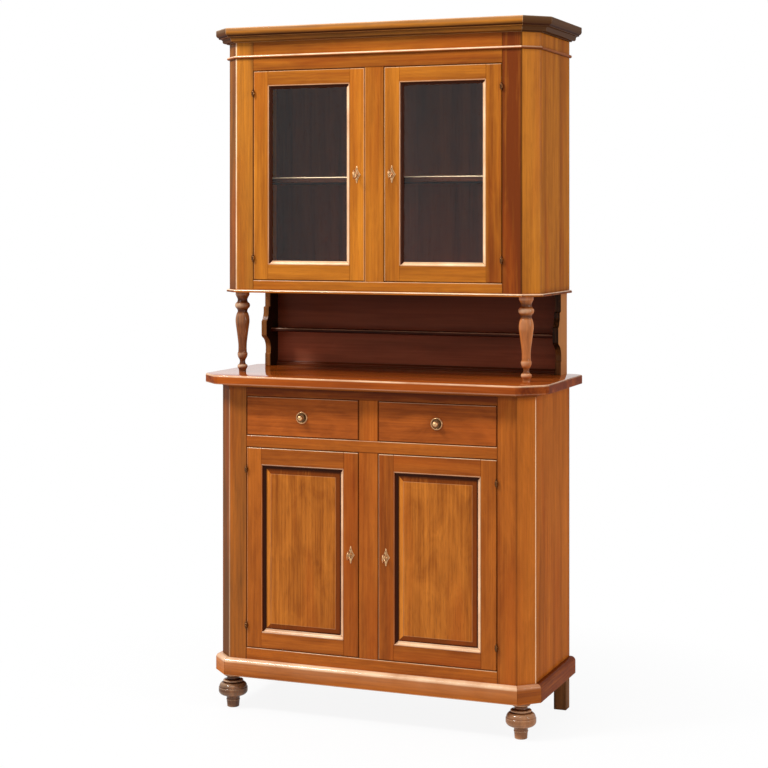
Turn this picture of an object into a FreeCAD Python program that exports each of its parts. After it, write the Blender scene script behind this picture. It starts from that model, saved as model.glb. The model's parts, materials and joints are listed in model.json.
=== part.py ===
"""Dresser with hutch, as it comes apart on a bench.

A base with two drawers over two raised-panel doors stands on turned front feet and square back
legs.  Its moulded worktop carries a glazed hutch on two turned columns and two shaped brackets.
Millimetres.  X runs to the right, Y to the back and Z up; the origin is on the floor, under the
middle of the plan.
"""
import FreeCAD, Part
import math
import os

Vector = FreeCAD.Vector

# ---- Driving sizes -------------------------------------------------------------------------------
BODY_WIDTH = 1064.0             # across both carcasses
BASE_DEPTH = 421.0              # base, front frame to back
HUTCH_SETBACK = 49.5            # hutch front behind the base front
CORNER_CHAMFER = 47.0           # plan leg of the 45 degree front corners
BOARD = 22.0                    # sides, posts, frames, doors and drawer fronts
BACK_BOARD = 8.0
SHELF_BOARD = 18.0
SHELF_ARRIS = 3.0
HOUSING = 6.0                   # depth of housings, rebates and stub tenons
POST_ARRIS = 1.5                # chamfer on the outer edges of the corner posts and legs
STILE_WIDTH = 62.0              # front face of a corner post, opening to chamfer
CENTRE_STILE = 65.0

TURNED_CUTS = 2                 # chords in each arc of a turned piece
SMALL_CUTS = 3                  # chords in each arc of a small moulding

FOOT_HEIGHT = 112.0
BASE_HEIGHT = 940.0             # base carcass between feet and worktop
WORKTOP_THICK = 28.5
RECESS_HEIGHT = 262.5           # worktop to hutch
HUTCH_HEIGHT = 811.0            # underside of the hutch to the foot of the cornice
CORNICE_HEIGHT = 46.0
CORNICE_STANDS_OVER = 4.0       # cornice above the carcass edge that carries it

BASE_BOTTOM_RAIL = 92.0
BASE_FLOOR_BOARD = 20.0
DRAWER_RAIL = 37.5
DRAWER_OPENING = 127.0
BASE_TOP_RAIL = 38.5
PLINTH_HEIGHT = 55.5
PLINTH_PROJECTION = 20.0
PLINTH_ROUND = 14.0             # height of the rounded top of the plinth

WORKTOP_FRONT = 57.0            # overhang over the base front
WORKTOP_SIDE = 49.0
WORKTOP_CHAMFER = 72.0
WORKTOP_TOP_ROUND = 5.0
WORKTOP_UNDER_ARRIS = 2.0
BEAD_PROJECTION = 5.0
BEAD_HEIGHT = 11.0

HUTCH_LIP = 9.0                 # thickness of the moulded lip under the hutch
HUTCH_LIP_PROJECTION = 9.0
HUTCH_LIP_ARRIS = 2.5
HUTCH_FLOOR = 20.0              # hutch floor with its lip
HUTCH_BOTTOM_RAIL = 31.0
FRIEZE_HEIGHT = 93.0
HUTCH_TOP_BOARD = 14.0
HUTCH_TOP_DROP = 50.0           # dust panel under the top edge of the carcass
HUTCH_SHELF_Z = 374.0           # top of the hutch shelf over the underside of the hutch
FRIEZE_BEAD_DROP = 47.0         # bead centre under the cornice
FRIEZE_BEAD_PROJECTION = 8.0
FRIEZE_BEAD_HEIGHT = 10.0
CORNICE_PROJECTION = 41.0

FOOT_RADIUS = 47.0              # bulb of a front foot
FOOT_INSET_X = 44.0             # foot centre inside the carcass side
FOOT_INSET_Y = 35.0             # foot centre behind the base front
DOWEL_RADIUS = 11.0
DOWEL_LENGTH = 24.0
DOWEL_CLEARANCE = 0.1
REAR_LEG = 41.0
GLUE_BLOCK = 58.0

COLUMN_RADIUS = 23.0
COLUMN_INSET_X = 46.5
COLUMN_INSET_Y = 48.5
COLUMN_DOWEL = 9.0
BRACKET_THICK = 19.0
BRACKET_INSET = 8.5             # bracket inside the carcass side
BRACKET_DEPTH = 100.0           # belly of the bracket
RECESS_SHELF_THICK = 12.0
RECESS_SHELF_Z = 129.0          # top of the shelf over the worktop
RECESS_SHELF_DEPTH = 57.0
SKIRTING_HEIGHT = 14.0
SKIRTING_THICK = 9.0

DOOR_GAP = 2.0                  # round doors and drawer fronts
DOOR_STILE = 50.0
UPPER_TOP_RAIL = 45.0
LOWER_TOP_RAIL = 42.0
DOOR_BOTTOM_RAIL = 49.0
STUCK_WIDTH = 12.0              # moulding on the inner edge of a door frame
STUCK_DEPTH = 9.0
DOOR_ARRIS = 1.2
GROOVE_DEPTH = 8.0
PANEL_EDGE = 6.0                # panel tongue, and the tenons of the rails
PANEL_PLAY = 1.0
PANEL_MARGIN = 2.0              # flat between moulding and bevel
PANEL_BEVEL = 17.0
PANEL_RELIEF = 2.0              # raised field behind the face of the frame
PANEL_STEP = 1.5
TENON_LENGTH = 28.0
GLASS_THICK = 4.0
GLAZING_BEAD = 9.0

HINGE_INSET = 70.0              # hinge centre from the end of the door
HINGE_STANDOFF = 5.0            # pin axis in front of the face
KNUCKLE_RADIUS = 4.5
KNUCKLE_HEIGHT = 12.0
PIN_RADIUS = 2.0
PIN_LENGTH = 8.0                # pin inside the upper knuckle
PIN_CLEARANCE = 0.05
LEAF_CLEARANCE = 0.1
LEAF_DEPTH = 16.0

LOCK_BACKSET = 25.0             # key axis from the free edge of the door
CASE_SIZE = 48.0
CASE_SETBACK = 2.0
CASE_DEPTH = 12.0
CASE_WALL = 1.5
KEY_RADIUS = 2.5
KEY_CLEARANCE = 0.3
BIT_REACH = 10.0                # key axis to the tip of the bit
BIT_THICK = 2.5
BIT_WIDTH = 6.0
BOLT_LOW = 5.0                  # underside of the bolt over the key axis
BOLT_HEIGHT = 10.0
BOLT_THICK = 4.0
BOLT_CLEARANCE = 0.3
TALON_WIDTH = 11.0              # notch of the bolt in which the bit works
TALON_OFFSET = 10.5
BOLT_TAIL = 4.0
PLATE_HEIGHT = 54.0             # escutcheon
PLATE_WIDTH = 28.0
PLATE_THICK = 1.5
BOW_REACH = 13.0                # half length of the key's bow
BOW_HALF_HEIGHT = 15.0
BOW_RIM = 4.5
BOW_THICK = 3.2
BOW_GAP = 5.0                   # escutcheon to bow

DRAWER_SIDE = 12.0
DRAWER_BACK_SPACE = 41.0        # behind a closed drawer
DRAWER_BOX_DROP = 5.0           # sides lower than the drawer front
DRAWER_BOTTOM = 6.0
DRAWER_BOTTOM_UP = 8.0
DRAWER_BOTTOM_HOLD = 5.0
DRAWER_LIFT = 0.3               # clearance over the runners
DOVETAIL_LENGTH = 14.0
DOVETAIL_FLARE = 3.0
DOVETAIL_COUNT = 4
RUNNER_THICK = 18.0
RUNNER_REACH = 20.0             # runner under the drawer side
GUIDE_HEIGHT = 22.0
GUIDE_PLAY = 0.5
KNOB_PLATE_RADIUS = 19.5
KNOB_PLATE_THICK = 4.5
KNOB_BALL_RADIUS = 9.5
KNOB_REACH = 23.0

# ---- Places that follow from the sizes -----------------------------------------------------------
HALF = BODY_WIDTH / 2
BACK_Y = (BASE_DEPTH + WORKTOP_FRONT) / 2
BASE_Y = BACK_Y - BASE_DEPTH
HUTCH_Y = BASE_Y + HUTCH_SETBACK
PANEL_Y = BACK_Y - BACK_BOARD   # face of the back boards
DRAWER_BACK_Y = PANEL_Y - DRAWER_BACK_SPACE

WORKTOP_Z = FOOT_HEIGHT + BASE_HEIGHT
RECESS_Z = WORKTOP_Z + WORKTOP_THICK
HUTCH_Z = RECESS_Z + RECESS_HEIGHT
CORNICE_Z = HUTCH_Z + HUTCH_HEIGHT
TOP_Z = CORNICE_Z + CORNICE_HEIGHT
CARCASS_TOP_Z = TOP_Z - CORNICE_STANDS_OVER

OPENING_X = HALF - CORNER_CHAMFER - STILE_WIDTH
CENTRE_X = CENTRE_STILE / 2
DOOR_WIDTH = OPENING_X - CENTRE_X - 2 * DOOR_GAP
DOOR_LEFT_X = -(OPENING_X - DOOR_GAP)

LOWER_SILL_Z = FOOT_HEIGHT + BASE_BOTTOM_RAIL
DRAWER_TOP_Z = WORKTOP_Z - BASE_TOP_RAIL
DRAWER_Z = DRAWER_TOP_Z - DRAWER_OPENING
LOWER_HEAD_Z = DRAWER_Z - DRAWER_RAIL
HUTCH_WALL_Z = HUTCH_Z + HUTCH_LIP
UPPER_SILL_Z = HUTCH_WALL_Z + HUTCH_BOTTOM_RAIL
UPPER_HEAD_Z = CORNICE_Z - FRIEZE_HEIGHT

SAME = 1e-6                     # two places this close are one
DIAGONAL = 2 - math.sqrt(2)     # growth of a chamfer leg per millimetre of outline
POST_RETURN = BOARD * (math.sqrt(2) - 1)
BEHIND_POST = CORNER_CHAMFER + POST_RETURN


# ---- Shapes --------------------------------------------------------------------------------------
def box(x0, x1, y0, y1, z0, z1):
    """Block between two corners."""
    return Part.makeBox(x1 - x0, y1 - y0, z1 - z0, Vector(x0, y0, z0))


def cylinder(radius, height, place, axis=Vector(0, 0, 1)):
    return Part.makeCylinder(radius, height, place, axis)


def prism(points, z, height):
    """Plan outline pulled up from z."""
    corners = [Vector(x, y, z) for x, y in points]
    face = Part.Face(Part.makePolygon(corners + corners[:1]))
    return face.extrude(Vector(0, 0, height))


def straight(start, end):
    return Part.LineSegment(start, end).toShape()


def slope(start, end):
    """Straight edge of a turned piece; a sloping one is a spline, which turns with few facets."""
    if abs(start.x - end.x) < SAME or abs(start.z - end.z) < SAME:
        return straight(start, end)
    spline = Part.BSplineCurve()
    spline.buildFromPoles([start, end], False, 1)
    return spline.toShape()


def profile(start, *steps, cuts=0, edge=straight):
    """Face in the XZ plane.  A step is a point, or a (middle, end) pair of points for an arc.

    With cuts, each arc is cut as that many chords, which keeps repeated and turned pieces light.
    """
    edges = []
    here = Vector(start[0], 0, start[1])
    for step in steps + (start,):
        if isinstance(step[0], tuple):
            middle = Vector(step[0][0], 0, step[0][1])
            end = Vector(step[1][0], 0, step[1][1])
            arc = Part.Arc(here, middle, end).toShape()
            if cuts:
                points = arc.discretize(cuts + 1)
                edges += [edge(*pair) for pair in zip(points, points[1:])]
            else:
                edges.append(arc)
        else:
            end = Vector(step[0], 0, step[1])
            if here.distanceToPoint(end) > SAME:
                edges.append(edge(here, end))
        here = end
    return Part.Face(Part.Wire(edges))


def sized(steps, width, height):
    """Profile steps given as shares of a width and a height, brought to size."""
    result = []
    for step in steps:
        if isinstance(step[0], tuple):
            result.append(tuple((x * width, z * height) for x, z in step))
        else:
            result.append((step[0] * width, step[1] * height))
    return result


def turned(face, x, y, z):
    """Profile face turned about the vertical through x, y."""
    solid = face.revolve(Vector(0, 0, 0), Vector(0, 0, 1), 360)
    solid.translate(Vector(x, y, z))
    return solid


def moulding(path, face, z, closed=False):
    """One mitred length of a moulding for each stretch of a plan path.

    The profile face holds (distance out of the path, height); out is to the right of travel.
    """
    reach = 2 * max(face.BoundBox.XMax, 1.0)
    low = face.BoundBox.ZMin + z - 1
    high = face.BoundBox.ZMax + z + 1
    points = [Vector(x, y, 0) for x, y in path]
    count = len(points)
    stretches = count if closed else count - 1
    along = [(points[(i + 1) % count] - points[i]).normalize() for i in range(stretches)]
    out = [Vector(d.y, -d.x, 0) for d in along]

    def mitre(before, after):
        total = out[before] + out[after]
        return total / (1 + out[before].dot(out[after]))

    lengths = []
    for i in range(stretches):
        start, end = points[i], points[(i + 1) % count]
        at_start = mitre(i - 1, i) if closed or i > 0 else out[i]
        after = (i + 1) % stretches
        at_end = mitre(i, after) if closed or i < stretches - 1 else out[i]
        wedge = prism([(p.x, p.y) for p in
                       (start, end, end + at_end * reach, start + at_start * reach)], low, high - low)
        strip = face.copy()
        strip.rotate(Vector(0, 0, 0), Vector(0, 0, 1), math.degrees(math.atan2(out[i].y, out[i].x)))
        strip.translate(start - along[i] * reach + Vector(0, 0, z))
        strip = strip.extrude(along[i] * ((end - start).Length + 2 * reach))
        lengths.append(strip.common(wedge).Solids[0])
    return lengths


def outline(half, front_y, chamfer, back_y=BACK_Y):
    """Plan path with 45 degree front corners, from back left round the front to back right."""
    return [(-half, back_y), (-half, front_y + chamfer), (-half + chamfer, front_y),
            (half - chamfer, front_y), (half, front_y + chamfer), (half, back_y)]


def carcass_outline(front_y, offset=0.0, back_y=BACK_Y):
    """Outline of a carcass, moved outwards by an offset (inwards where it is negative)."""
    return outline(HALF + offset, front_y - offset, CORNER_CHAMFER + offset * DIAGONAL, back_y)


def mirrored(shape):
    """The same piece on the other side of the dresser."""
    return shape.mirror(Vector(0, 0, 0), Vector(1, 0, 0))


def both_sides(shape):
    return [shape, mirrored(shape)]


def rounded(solid, radius, wanted):
    """Round the edges whose middle passes the test."""
    edges = [e for e in solid.Edges if wanted(e.CenterOfMass, e)]
    return solid.makeFillet(radius, edges)


def eased(solid, size, wanted):
    """Plane a small chamfer on the edges whose middle passes the test."""
    edges = [e for e in solid.Edges if wanted(e.CenterOfMass, e)]
    return solid.makeChamfer(size, edges)


def is_upright(edge):
    return edge.BoundBox.ZLength > 0.9 * edge.Length


NODES = {}


def node(name, *solids):
    """Keep the solids of a node."""
    NODES[name] = list(solids)


# ---- Carcass boards ------------------------------------------------------------------------------
def corner_post(front_y, low, high):
    """Left post: door stile and 45 degree corner in one."""
    stile_x = -HALF + CORNER_CHAMFER
    points = [(-OPENING_X, front_y), (stile_x, front_y), (-HALF, front_y + CORNER_CHAMFER),
              (-HALF, front_y + BEHIND_POST), (-HALF + BOARD, front_y + BEHIND_POST),
              (stile_x + POST_RETURN, front_y + BOARD), (-OPENING_X, front_y + BOARD)]
    post = prism(points, low, high - low)

    def is_outer_arris(centre, edge):
        outside = centre.x < stile_x + 1 and centre.y < front_y + CORNER_CHAMFER + 1
        return is_upright(edge) and outside

    return eased(post, POST_ARRIS, is_outer_arris)


def side_board(front_y, low, high):
    """Left side, rebated behind for the back board."""
    side = box(-HALF, -HALF + BOARD, front_y + BEHIND_POST, BACK_Y, low, high)
    rebate = box(-HALF + BOARD / 2, -HALF + BOARD, PANEL_Y, BACK_Y, low, high)
    return side.cut(rebate)


def back_board(low, high):
    return box(-HALF + BOARD / 2, HALF - BOARD / 2, PANEL_Y, BACK_Y, low, high)


def shelf_board(front_y, top):
    """Shelf let into the housings of both sides."""
    reach = HALF - BOARD + HOUSING
    shelf = box(-reach, reach, front_y + BEHIND_POST + HOUSING, PANEL_Y, top - SHELF_BOARD, top)
    front = front_y + BEHIND_POST + HOUSING
    return eased(shelf, SHELF_ARRIS, lambda c, e: abs(c.y - front) < 0.1 and e.Length > reach)


def rail(half_from, half_to, front_y, low, high):
    """Rail of a face frame with a stub tenon at each end."""
    body = box(half_from, half_to, front_y, front_y + BOARD, low, high)
    cheek = BOARD / 3
    tenon = box(half_from - HOUSING * 2, half_to + HOUSING * 2, front_y + cheek,
                front_y + 2 * cheek, low + HOUSING, high - HOUSING)
    return body.fuse(tenon).removeSplitter()


def centre_upright(front_y, low, high):
    """Centre stile with a stub tenon at each end."""
    body = box(-CENTRE_X, CENTRE_X, front_y, front_y + BOARD, low, high)
    cheek = BOARD / 3
    tenon = box(-CENTRE_X + HOUSING, CENTRE_X - HOUSING, front_y + cheek, front_y + 2 * cheek,
                low - HOUSING, high + HOUSING)
    return body.fuse(tenon).removeSplitter()


def cut_all(solid, cutters):
    for cutter in cutters:
        solid = solid.cut(cutter)
    return solid


# ---- Base carcass --------------------------------------------------------------------------------
def base_carcass():
    rails = [rail(-OPENING_X, OPENING_X, BASE_Y, FOOT_HEIGHT, LOWER_SILL_Z),
             rail(-OPENING_X, OPENING_X, BASE_Y, LOWER_HEAD_Z, DRAWER_Z),
             rail(-OPENING_X, OPENING_X, BASE_Y, DRAWER_TOP_Z, WORKTOP_Z)]
    uprights = [centre_upright(BASE_Y, LOWER_SILL_Z, LOWER_HEAD_Z),
                centre_upright(BASE_Y, DRAWER_Z, DRAWER_TOP_Z)]
    bore = cylinder(DOWEL_RADIUS + DOWEL_CLEARANCE, DOWEL_LENGTH + 1,
                    Vector(-HALF + FOOT_INSET_X, BASE_Y + FOOT_INSET_Y, FOOT_HEIGHT))
    post = cut_all(corner_post(BASE_Y, FOOT_HEIGHT, WORKTOP_Z), rails + [bore])
    rails = [cut_all(r, uprights) for r in rails]
    node("base_face_frame", *rails, *uprights)
    node("base_corner_post_left", post)
    node("base_corner_post_right", mirrored(post))

    shelf_top = (LOWER_SILL_Z + LOWER_HEAD_Z) / 2
    shelf = shelf_board(BASE_Y, shelf_top)
    side = side_board(BASE_Y, FOOT_HEIGHT, WORKTOP_Z).cut(shelf)
    node("base_side_left", side)
    node("base_side_right", mirrored(side))
    node("base_shelf", shelf)
    node("base_back_panel", back_board(FOOT_HEIGHT, WORKTOP_Z))

    inside = carcass_outline(BASE_Y, -BOARD, PANEL_Y)
    floor_z = LOWER_SILL_Z - BASE_FLOOR_BOARD
    floor = prism(inside, floor_z, BASE_FLOOR_BOARD)
    corner = prism(inside, FOOT_HEIGHT, floor_z - FOOT_HEIGHT)
    near_corner = box(-HALF, -HALF + BOARD + GLUE_BLOCK, BASE_Y, BASE_Y + BOARD + GLUE_BLOCK,
                      FOOT_HEIGHT, floor_z)
    node("base_bottom", floor, *both_sides(corner.common(near_corner).cut(bore)))


def feet():
    toe_and_bulb = [(0.39, 0), (0.455, 0.20), (0.58, 0.26), ((0.90, 0.365), (1.0, 0.50)),
                    ((0.92, 0.63), (0.70, 0.715)), (0.45, 0.80), (0.46, 0.893), (0.63, 0.93),
                    (0.63, 1.0)]
    face = profile((0, 0), *sized(toe_and_bulb, FOOT_RADIUS, FOOT_HEIGHT),
                   (DOWEL_RADIUS, FOOT_HEIGHT), (DOWEL_RADIUS, FOOT_HEIGHT + DOWEL_LENGTH),
                   (0, FOOT_HEIGHT + DOWEL_LENGTH), cuts=TURNED_CUTS, edge=slope)
    foot = turned(face, -HALF + FOOT_INSET_X, BASE_Y + FOOT_INSET_Y, 0)
    node("front_feet", *both_sides(foot))

    leg = box(-HALF, -HALF + REAR_LEG, BACK_Y - REAR_LEG, BACK_Y, 0, FOOT_HEIGHT)
    leg = eased(leg, POST_ARRIS, lambda c, e: is_upright(e))
    floor_z = LOWER_SILL_Z - BASE_FLOOR_BOARD
    horn = box(-HALF + BOARD, -HALF + REAR_LEG, BACK_Y - REAR_LEG, PANEL_Y, FOOT_HEIGHT, floor_z)
    node("rear_feet", *both_sides(leg.fuse(horn).removeSplitter()))


def plinth():
    top = PLINTH_HEIGHT
    edge = PLINTH_PROJECTION
    face = profile((0, 0), (edge - 2, 0), (edge, 2), (edge, top - PLINTH_ROUND),
                   ((edge * 0.78, top - PLINTH_ROUND * 0.28), (edge * 0.25, top)), (0, top))
    node("plinth_moulding", *moulding(carcass_outline(BASE_Y), face, FOOT_HEIGHT))


def drawer_runners():
    """Runner, guide and kicker at each side, and a shared set behind the divider."""
    front = BASE_Y + BOARD
    low = DRAWER_Z - RUNNER_THICK
    guide_top = DRAWER_Z + GUIDE_HEIGHT
    inside = HALF - BOARD
    drawer_outer = OPENING_X - DOOR_GAP
    drawer_inner = CENTRE_X + DOOR_GAP
    start = BASE_Y + BEHIND_POST
    side_runner = box(-inside, -drawer_outer + RUNNER_REACH, start, PANEL_Y, low, DRAWER_Z)
    side_guide = box(-inside, -drawer_outer - GUIDE_PLAY, start, PANEL_Y, DRAWER_Z, guide_top)
    nose = box(-OPENING_X, -drawer_outer + RUNNER_REACH, front, start, low, DRAWER_Z)
    side = side_runner.fuse(side_guide).fuse(nose).removeSplitter()
    centre = box(-drawer_inner - RUNNER_REACH, drawer_inner + RUNNER_REACH, front, PANEL_Y,
                 low, DRAWER_Z)
    centre_guide = box(-drawer_inner + GUIDE_PLAY, drawer_inner - GUIDE_PLAY, front, PANEL_Y,
                       DRAWER_Z, guide_top)
    centre = centre.fuse(centre_guide).removeSplitter()
    kick_high = WORKTOP_Z
    side_kicker = box(-inside, -drawer_outer + RUNNER_REACH, start, PANEL_Y, DRAWER_TOP_Z, kick_high)
    centre_kicker = box(-drawer_inner - RUNNER_REACH, drawer_inner + RUNNER_REACH, front, PANEL_Y,
                        DRAWER_TOP_Z, kick_high)
    node("drawer_runners", *both_sides(side), centre, *both_sides(side_kicker), centre_kicker)


# ---- Worktop and recess --------------------------------------------------------------------------
def worktop():
    half = HALF + WORKTOP_SIDE
    front = BASE_Y - WORKTOP_FRONT
    slab = prism(outline(half, front, WORKTOP_CHAMFER), WORKTOP_Z, WORKTOP_THICK)

    def is_rim(level):
        return lambda c, e: abs(c.z - level) < 0.01 and c.y < BACK_Y - 1

    slab = rounded(slab, WORKTOP_TOP_ROUND, is_rim(RECESS_Z))
    slab = eased(slab, WORKTOP_UNDER_ARRIS, is_rim(WORKTOP_Z))
    return slab


def column_dowels(z):
    """Cutters for the column dowels, half of each on either side of z."""
    radius = COLUMN_DOWEL + DOWEL_CLEARANCE
    length = HUTCH_LIP
    hole = cylinder(radius, 2 * length, Vector(-HALF + COLUMN_INSET_X, HUTCH_Y + COLUMN_INSET_Y,
                                               z - length))
    return both_sides(hole)


def columns():
    length = HUTCH_LIP - 1
    base = [(0.55, 0), (0.69, 0.065), (0.50, 0.097), (0.42, 0.145), (0.713, 0.217), (0.617, 0.251)]
    vase = [((0.595, 0.324), (0.661, 0.400)), ((0.79, 0.488), (0.965, 0.600)),
            ((0.99, 0.665), (0.826, 0.731)), (0.696, 0.750)]
    neck = [(0.696, 0.770), (0.826, 0.792), ((1.07, 0.830), (0.826, 0.869)), (0.72, 0.908),
            (0.99, 0.962), (0.99, 1.0)]
    face = profile((0, -length), (COLUMN_DOWEL, -length), (COLUMN_DOWEL, 0),
                   *sized(base + vase + neck, COLUMN_RADIUS, RECESS_HEIGHT),
                   (COLUMN_DOWEL, RECESS_HEIGHT), (COLUMN_DOWEL, RECESS_HEIGHT + length),
                   (0, RECESS_HEIGHT + length), cuts=TURNED_CUTS, edge=slope)
    column = turned(face, -HALF + COLUMN_INSET_X, HUTCH_Y + COLUMN_INSET_Y, RECESS_Z)
    node("columns", *both_sides(column))


def recess():
    """Brackets, back board, shelf and foot moulding between worktop and hutch."""
    shape = profile((0, 0), *sized(
        [(0.71, 0), (0.71, 0.155), (0.665, 0.17), (0.665, 0.21), ((0.72, 0.31), (0.93, 0.375)),
         (1.0, 0.40), (1.0, 0.585), (0.955, 0.592), ((0.875, 0.645), (0.83, 0.70)), (0.83, 0.765),
         (0.71, 0.775), (0.71, 1.0), (0, 1.0)], BRACKET_DEPTH, RECESS_HEIGHT), cuts=2 * SMALL_CUTS)
    board = shape.extrude(Vector(0, BRACKET_THICK, 0))
    board.rotate(Vector(0, 0, 0), Vector(0, 0, 1), -90)
    board.translate(Vector(-HALF + BRACKET_INSET, BACK_Y, RECESS_Z))
    inside = HALF - BRACKET_INSET - BRACKET_THICK
    top = RECESS_Z + RECESS_SHELF_Z
    front = PANEL_Y - RECESS_SHELF_DEPTH
    shelf = box(-inside - HOUSING, inside + HOUSING, front, PANEL_Y, top - RECESS_SHELF_THICK, top)
    shelf = eased(shelf, SHELF_ARRIS / 2, lambda c, e: abs(c.y - front) < 0.1 and e.Length > inside)
    node("brackets", *both_sides(board.cut(shelf)))
    node("recess_shelf", shelf)
    node("recess_back_panel", box(-inside, inside, PANEL_Y, BACK_Y, RECESS_Z, HUTCH_Z))
    foot = profile((0, 0), (SKIRTING_THICK, 0), (SKIRTING_THICK, SKIRTING_HEIGHT / 2),
                   ((SKIRTING_THICK * 0.6, SKIRTING_HEIGHT * 0.7),
                    (SKIRTING_THICK * 0.35, SKIRTING_HEIGHT)), (0, SKIRTING_HEIGHT),
                   cuts=SMALL_CUTS)
    node("recess_skirting", *moulding([(-inside, PANEL_Y), (inside, PANEL_Y)], foot, RECESS_Z))


def bead(height, projection):
    """Half-round bead profile."""
    nose = projection * 0.35
    return profile((0, 0), (nose, 0), ((projection, height / 2), (nose, height)), (0, height),
                   cuts=2 * SMALL_CUTS)


def beads():
    under_top = moulding(carcass_outline(BASE_Y), bead(BEAD_HEIGHT, BEAD_PROJECTION),
                         WORKTOP_Z - BEAD_HEIGHT)
    on_frieze = moulding(carcass_outline(HUTCH_Y), bead(FRIEZE_BEAD_HEIGHT, FRIEZE_BEAD_PROJECTION),
                         CORNICE_Z - FRIEZE_BEAD_DROP - FRIEZE_BEAD_HEIGHT / 2)
    node("bead_mouldings", *under_top, *on_frieze)


# ---- Hutch carcass -------------------------------------------------------------------------------
def hutch_carcass():
    rails = [rail(-OPENING_X, OPENING_X, HUTCH_Y, HUTCH_WALL_Z, UPPER_SILL_Z),
             rail(-OPENING_X, OPENING_X, HUTCH_Y, UPPER_HEAD_Z, CARCASS_TOP_Z)]
    upright = centre_upright(HUTCH_Y, UPPER_SILL_Z, UPPER_HEAD_Z)
    post = cut_all(corner_post(HUTCH_Y, HUTCH_WALL_Z, CARCASS_TOP_Z), rails)
    node("hutch_face_frame", *[r.cut(upright) for r in rails], upright)
    node("hutch_corner_post_left", post)
    node("hutch_corner_post_right", mirrored(post))

    shelf = shelf_board(HUTCH_Y, HUTCH_Z + HUTCH_SHELF_Z)
    side = side_board(HUTCH_Y, HUTCH_WALL_Z, CARCASS_TOP_Z).cut(shelf)
    node("hutch_side_left", side)
    node("hutch_side_right", mirrored(side))
    node("hutch_shelf", shelf)
    node("hutch_back_panel", back_board(HUTCH_WALL_Z, CARCASS_TOP_Z))

    lip = prism(carcass_outline(HUTCH_Y, HUTCH_LIP_PROJECTION), HUTCH_Z, HUTCH_LIP)
    lip = eased(lip, HUTCH_LIP_ARRIS, lambda c, e: not is_upright(e) and c.y < BACK_Y - 1)
    inside = carcass_outline(HUTCH_Y, -BOARD, PANEL_Y)
    floor = prism(inside, HUTCH_WALL_Z, HUTCH_FLOOR - HUTCH_LIP)
    floor = lip.fuse(floor).removeSplitter()
    node("hutch_bottom", cut_all(floor, column_dowels(HUTCH_Z)))
    node("hutch_top", prism(inside, CARCASS_TOP_Z - HUTCH_TOP_DROP, HUTCH_TOP_BOARD))


def cornice():
    out = CORNICE_PROJECTION
    high = CORNICE_HEIGHT
    face = profile((0, 0), *sized(
        [(0.20, 0), (0.20, 0.065), (0.33, 0.065), ((0.47, 0.09), (0.52, 0.19)),
         ((0.57, 0.31), (0.68, 0.35)), (0.80, 0.37), (0.80, 0.45), (0.86, 0.47),
         ((0.965, 0.56), (1.0, 0.72)), (1.0, 0.96), (0.96, 1.0), (0, 1.0)],
        out, high), cuts=SMALL_CUTS)
    node("cornice", *moulding(carcass_outline(HUTCH_Y), face, CORNICE_Z))


# ---- Doors, built lying down with the front face up at z = 0 --------------------------------------
def stood_up(shape, x, y, z):
    """Stand a flat-built door piece up and put its lower front left corner in place."""
    shape = shape.copy()
    shape.rotate(Vector(0, 0, 0), Vector(1, 0, 0), 90)
    shape.translate(Vector(x, y, z))
    return shape


def clockwise(x0, x1, y0, y1):
    """Closed path round a rectangle whose inside lies to the right of travel."""
    return [(x0, y0), (x0, y1), (x1, y1), (x1, y0)]


def stuck_profile():
    """Quirk and ovolo worked on the inner edges of a door frame."""
    wide = STUCK_WIDTH
    deep = STUCK_DEPTH
    return profile((0, 0), (wide * 0.12, 0), (wide * 0.12, -deep * 0.14),
                   ((wide * 0.62, -deep * 0.30), (wide * 0.88, -deep * 0.72)),
                   (wide, -deep * 0.74), (wide, -deep), (0, -deep), cuts=SMALL_CUTS)


def door_frame(height, top_rail, cutter):
    """Two stiles and two tenoned rails, each with its stretch of the stuck moulding."""
    width = DOOR_WIDTH
    x0, x1 = DOOR_STILE, width - DOOR_STILE
    y0, y1 = DOOR_BOTTOM_RAIL, height - top_rail
    left_strip, top_strip, right_strip, bottom_strip = moulding(
        clockwise(x0, x1, y0, y1), stuck_profile(), 0, closed=True)
    tenon_top = -STUCK_DEPTH
    tenon_low = tenon_top - PANEL_EDGE

    def tenoned_rail(low, high, tenon_from, tenon_to, strip):
        body = box(x0, x1, low, high, -BOARD, 0)
        tenon = box(x0 - TENON_LENGTH, x1 + TENON_LENGTH, tenon_from, tenon_to, tenon_low, tenon_top)
        return body.fuse([tenon, strip])

    bottom = tenoned_rail(0, y0, HOUSING, y0 - GROOVE_DEPTH, bottom_strip)
    top = tenoned_rail(y1, height, y1 + GROOVE_DEPTH, height - HOUSING, top_strip)
    left = box(0, x0, 0, height, -BOARD, 0).fuse(left_strip)
    right = box(x1, width, 0, height, -BOARD, 0).fuse(right_strip)
    rails = [bottom.cut(cutter), top.cut(cutter)]
    stiles = [cut_all(s, [cutter] + rails) for s in (left, right)]
    members = [m.removeSplitter() for m in stiles + rails]
    return members, (x0, x1, y0, y1)


def arrissed(member, width, height):
    """Take the sharp edge off the outer front edges of a door member."""
    def is_outer(centre, edge):
        outside = centre.x < 0.01 or centre.x > width - 0.01 or centre.y < 0.01 \
            or centre.y > height - 0.01
        return abs(centre.z) < 0.01 and outside and edge.Length > DOOR_STILE
    return eased(member, DOOR_ARRIS, is_outer)


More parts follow.
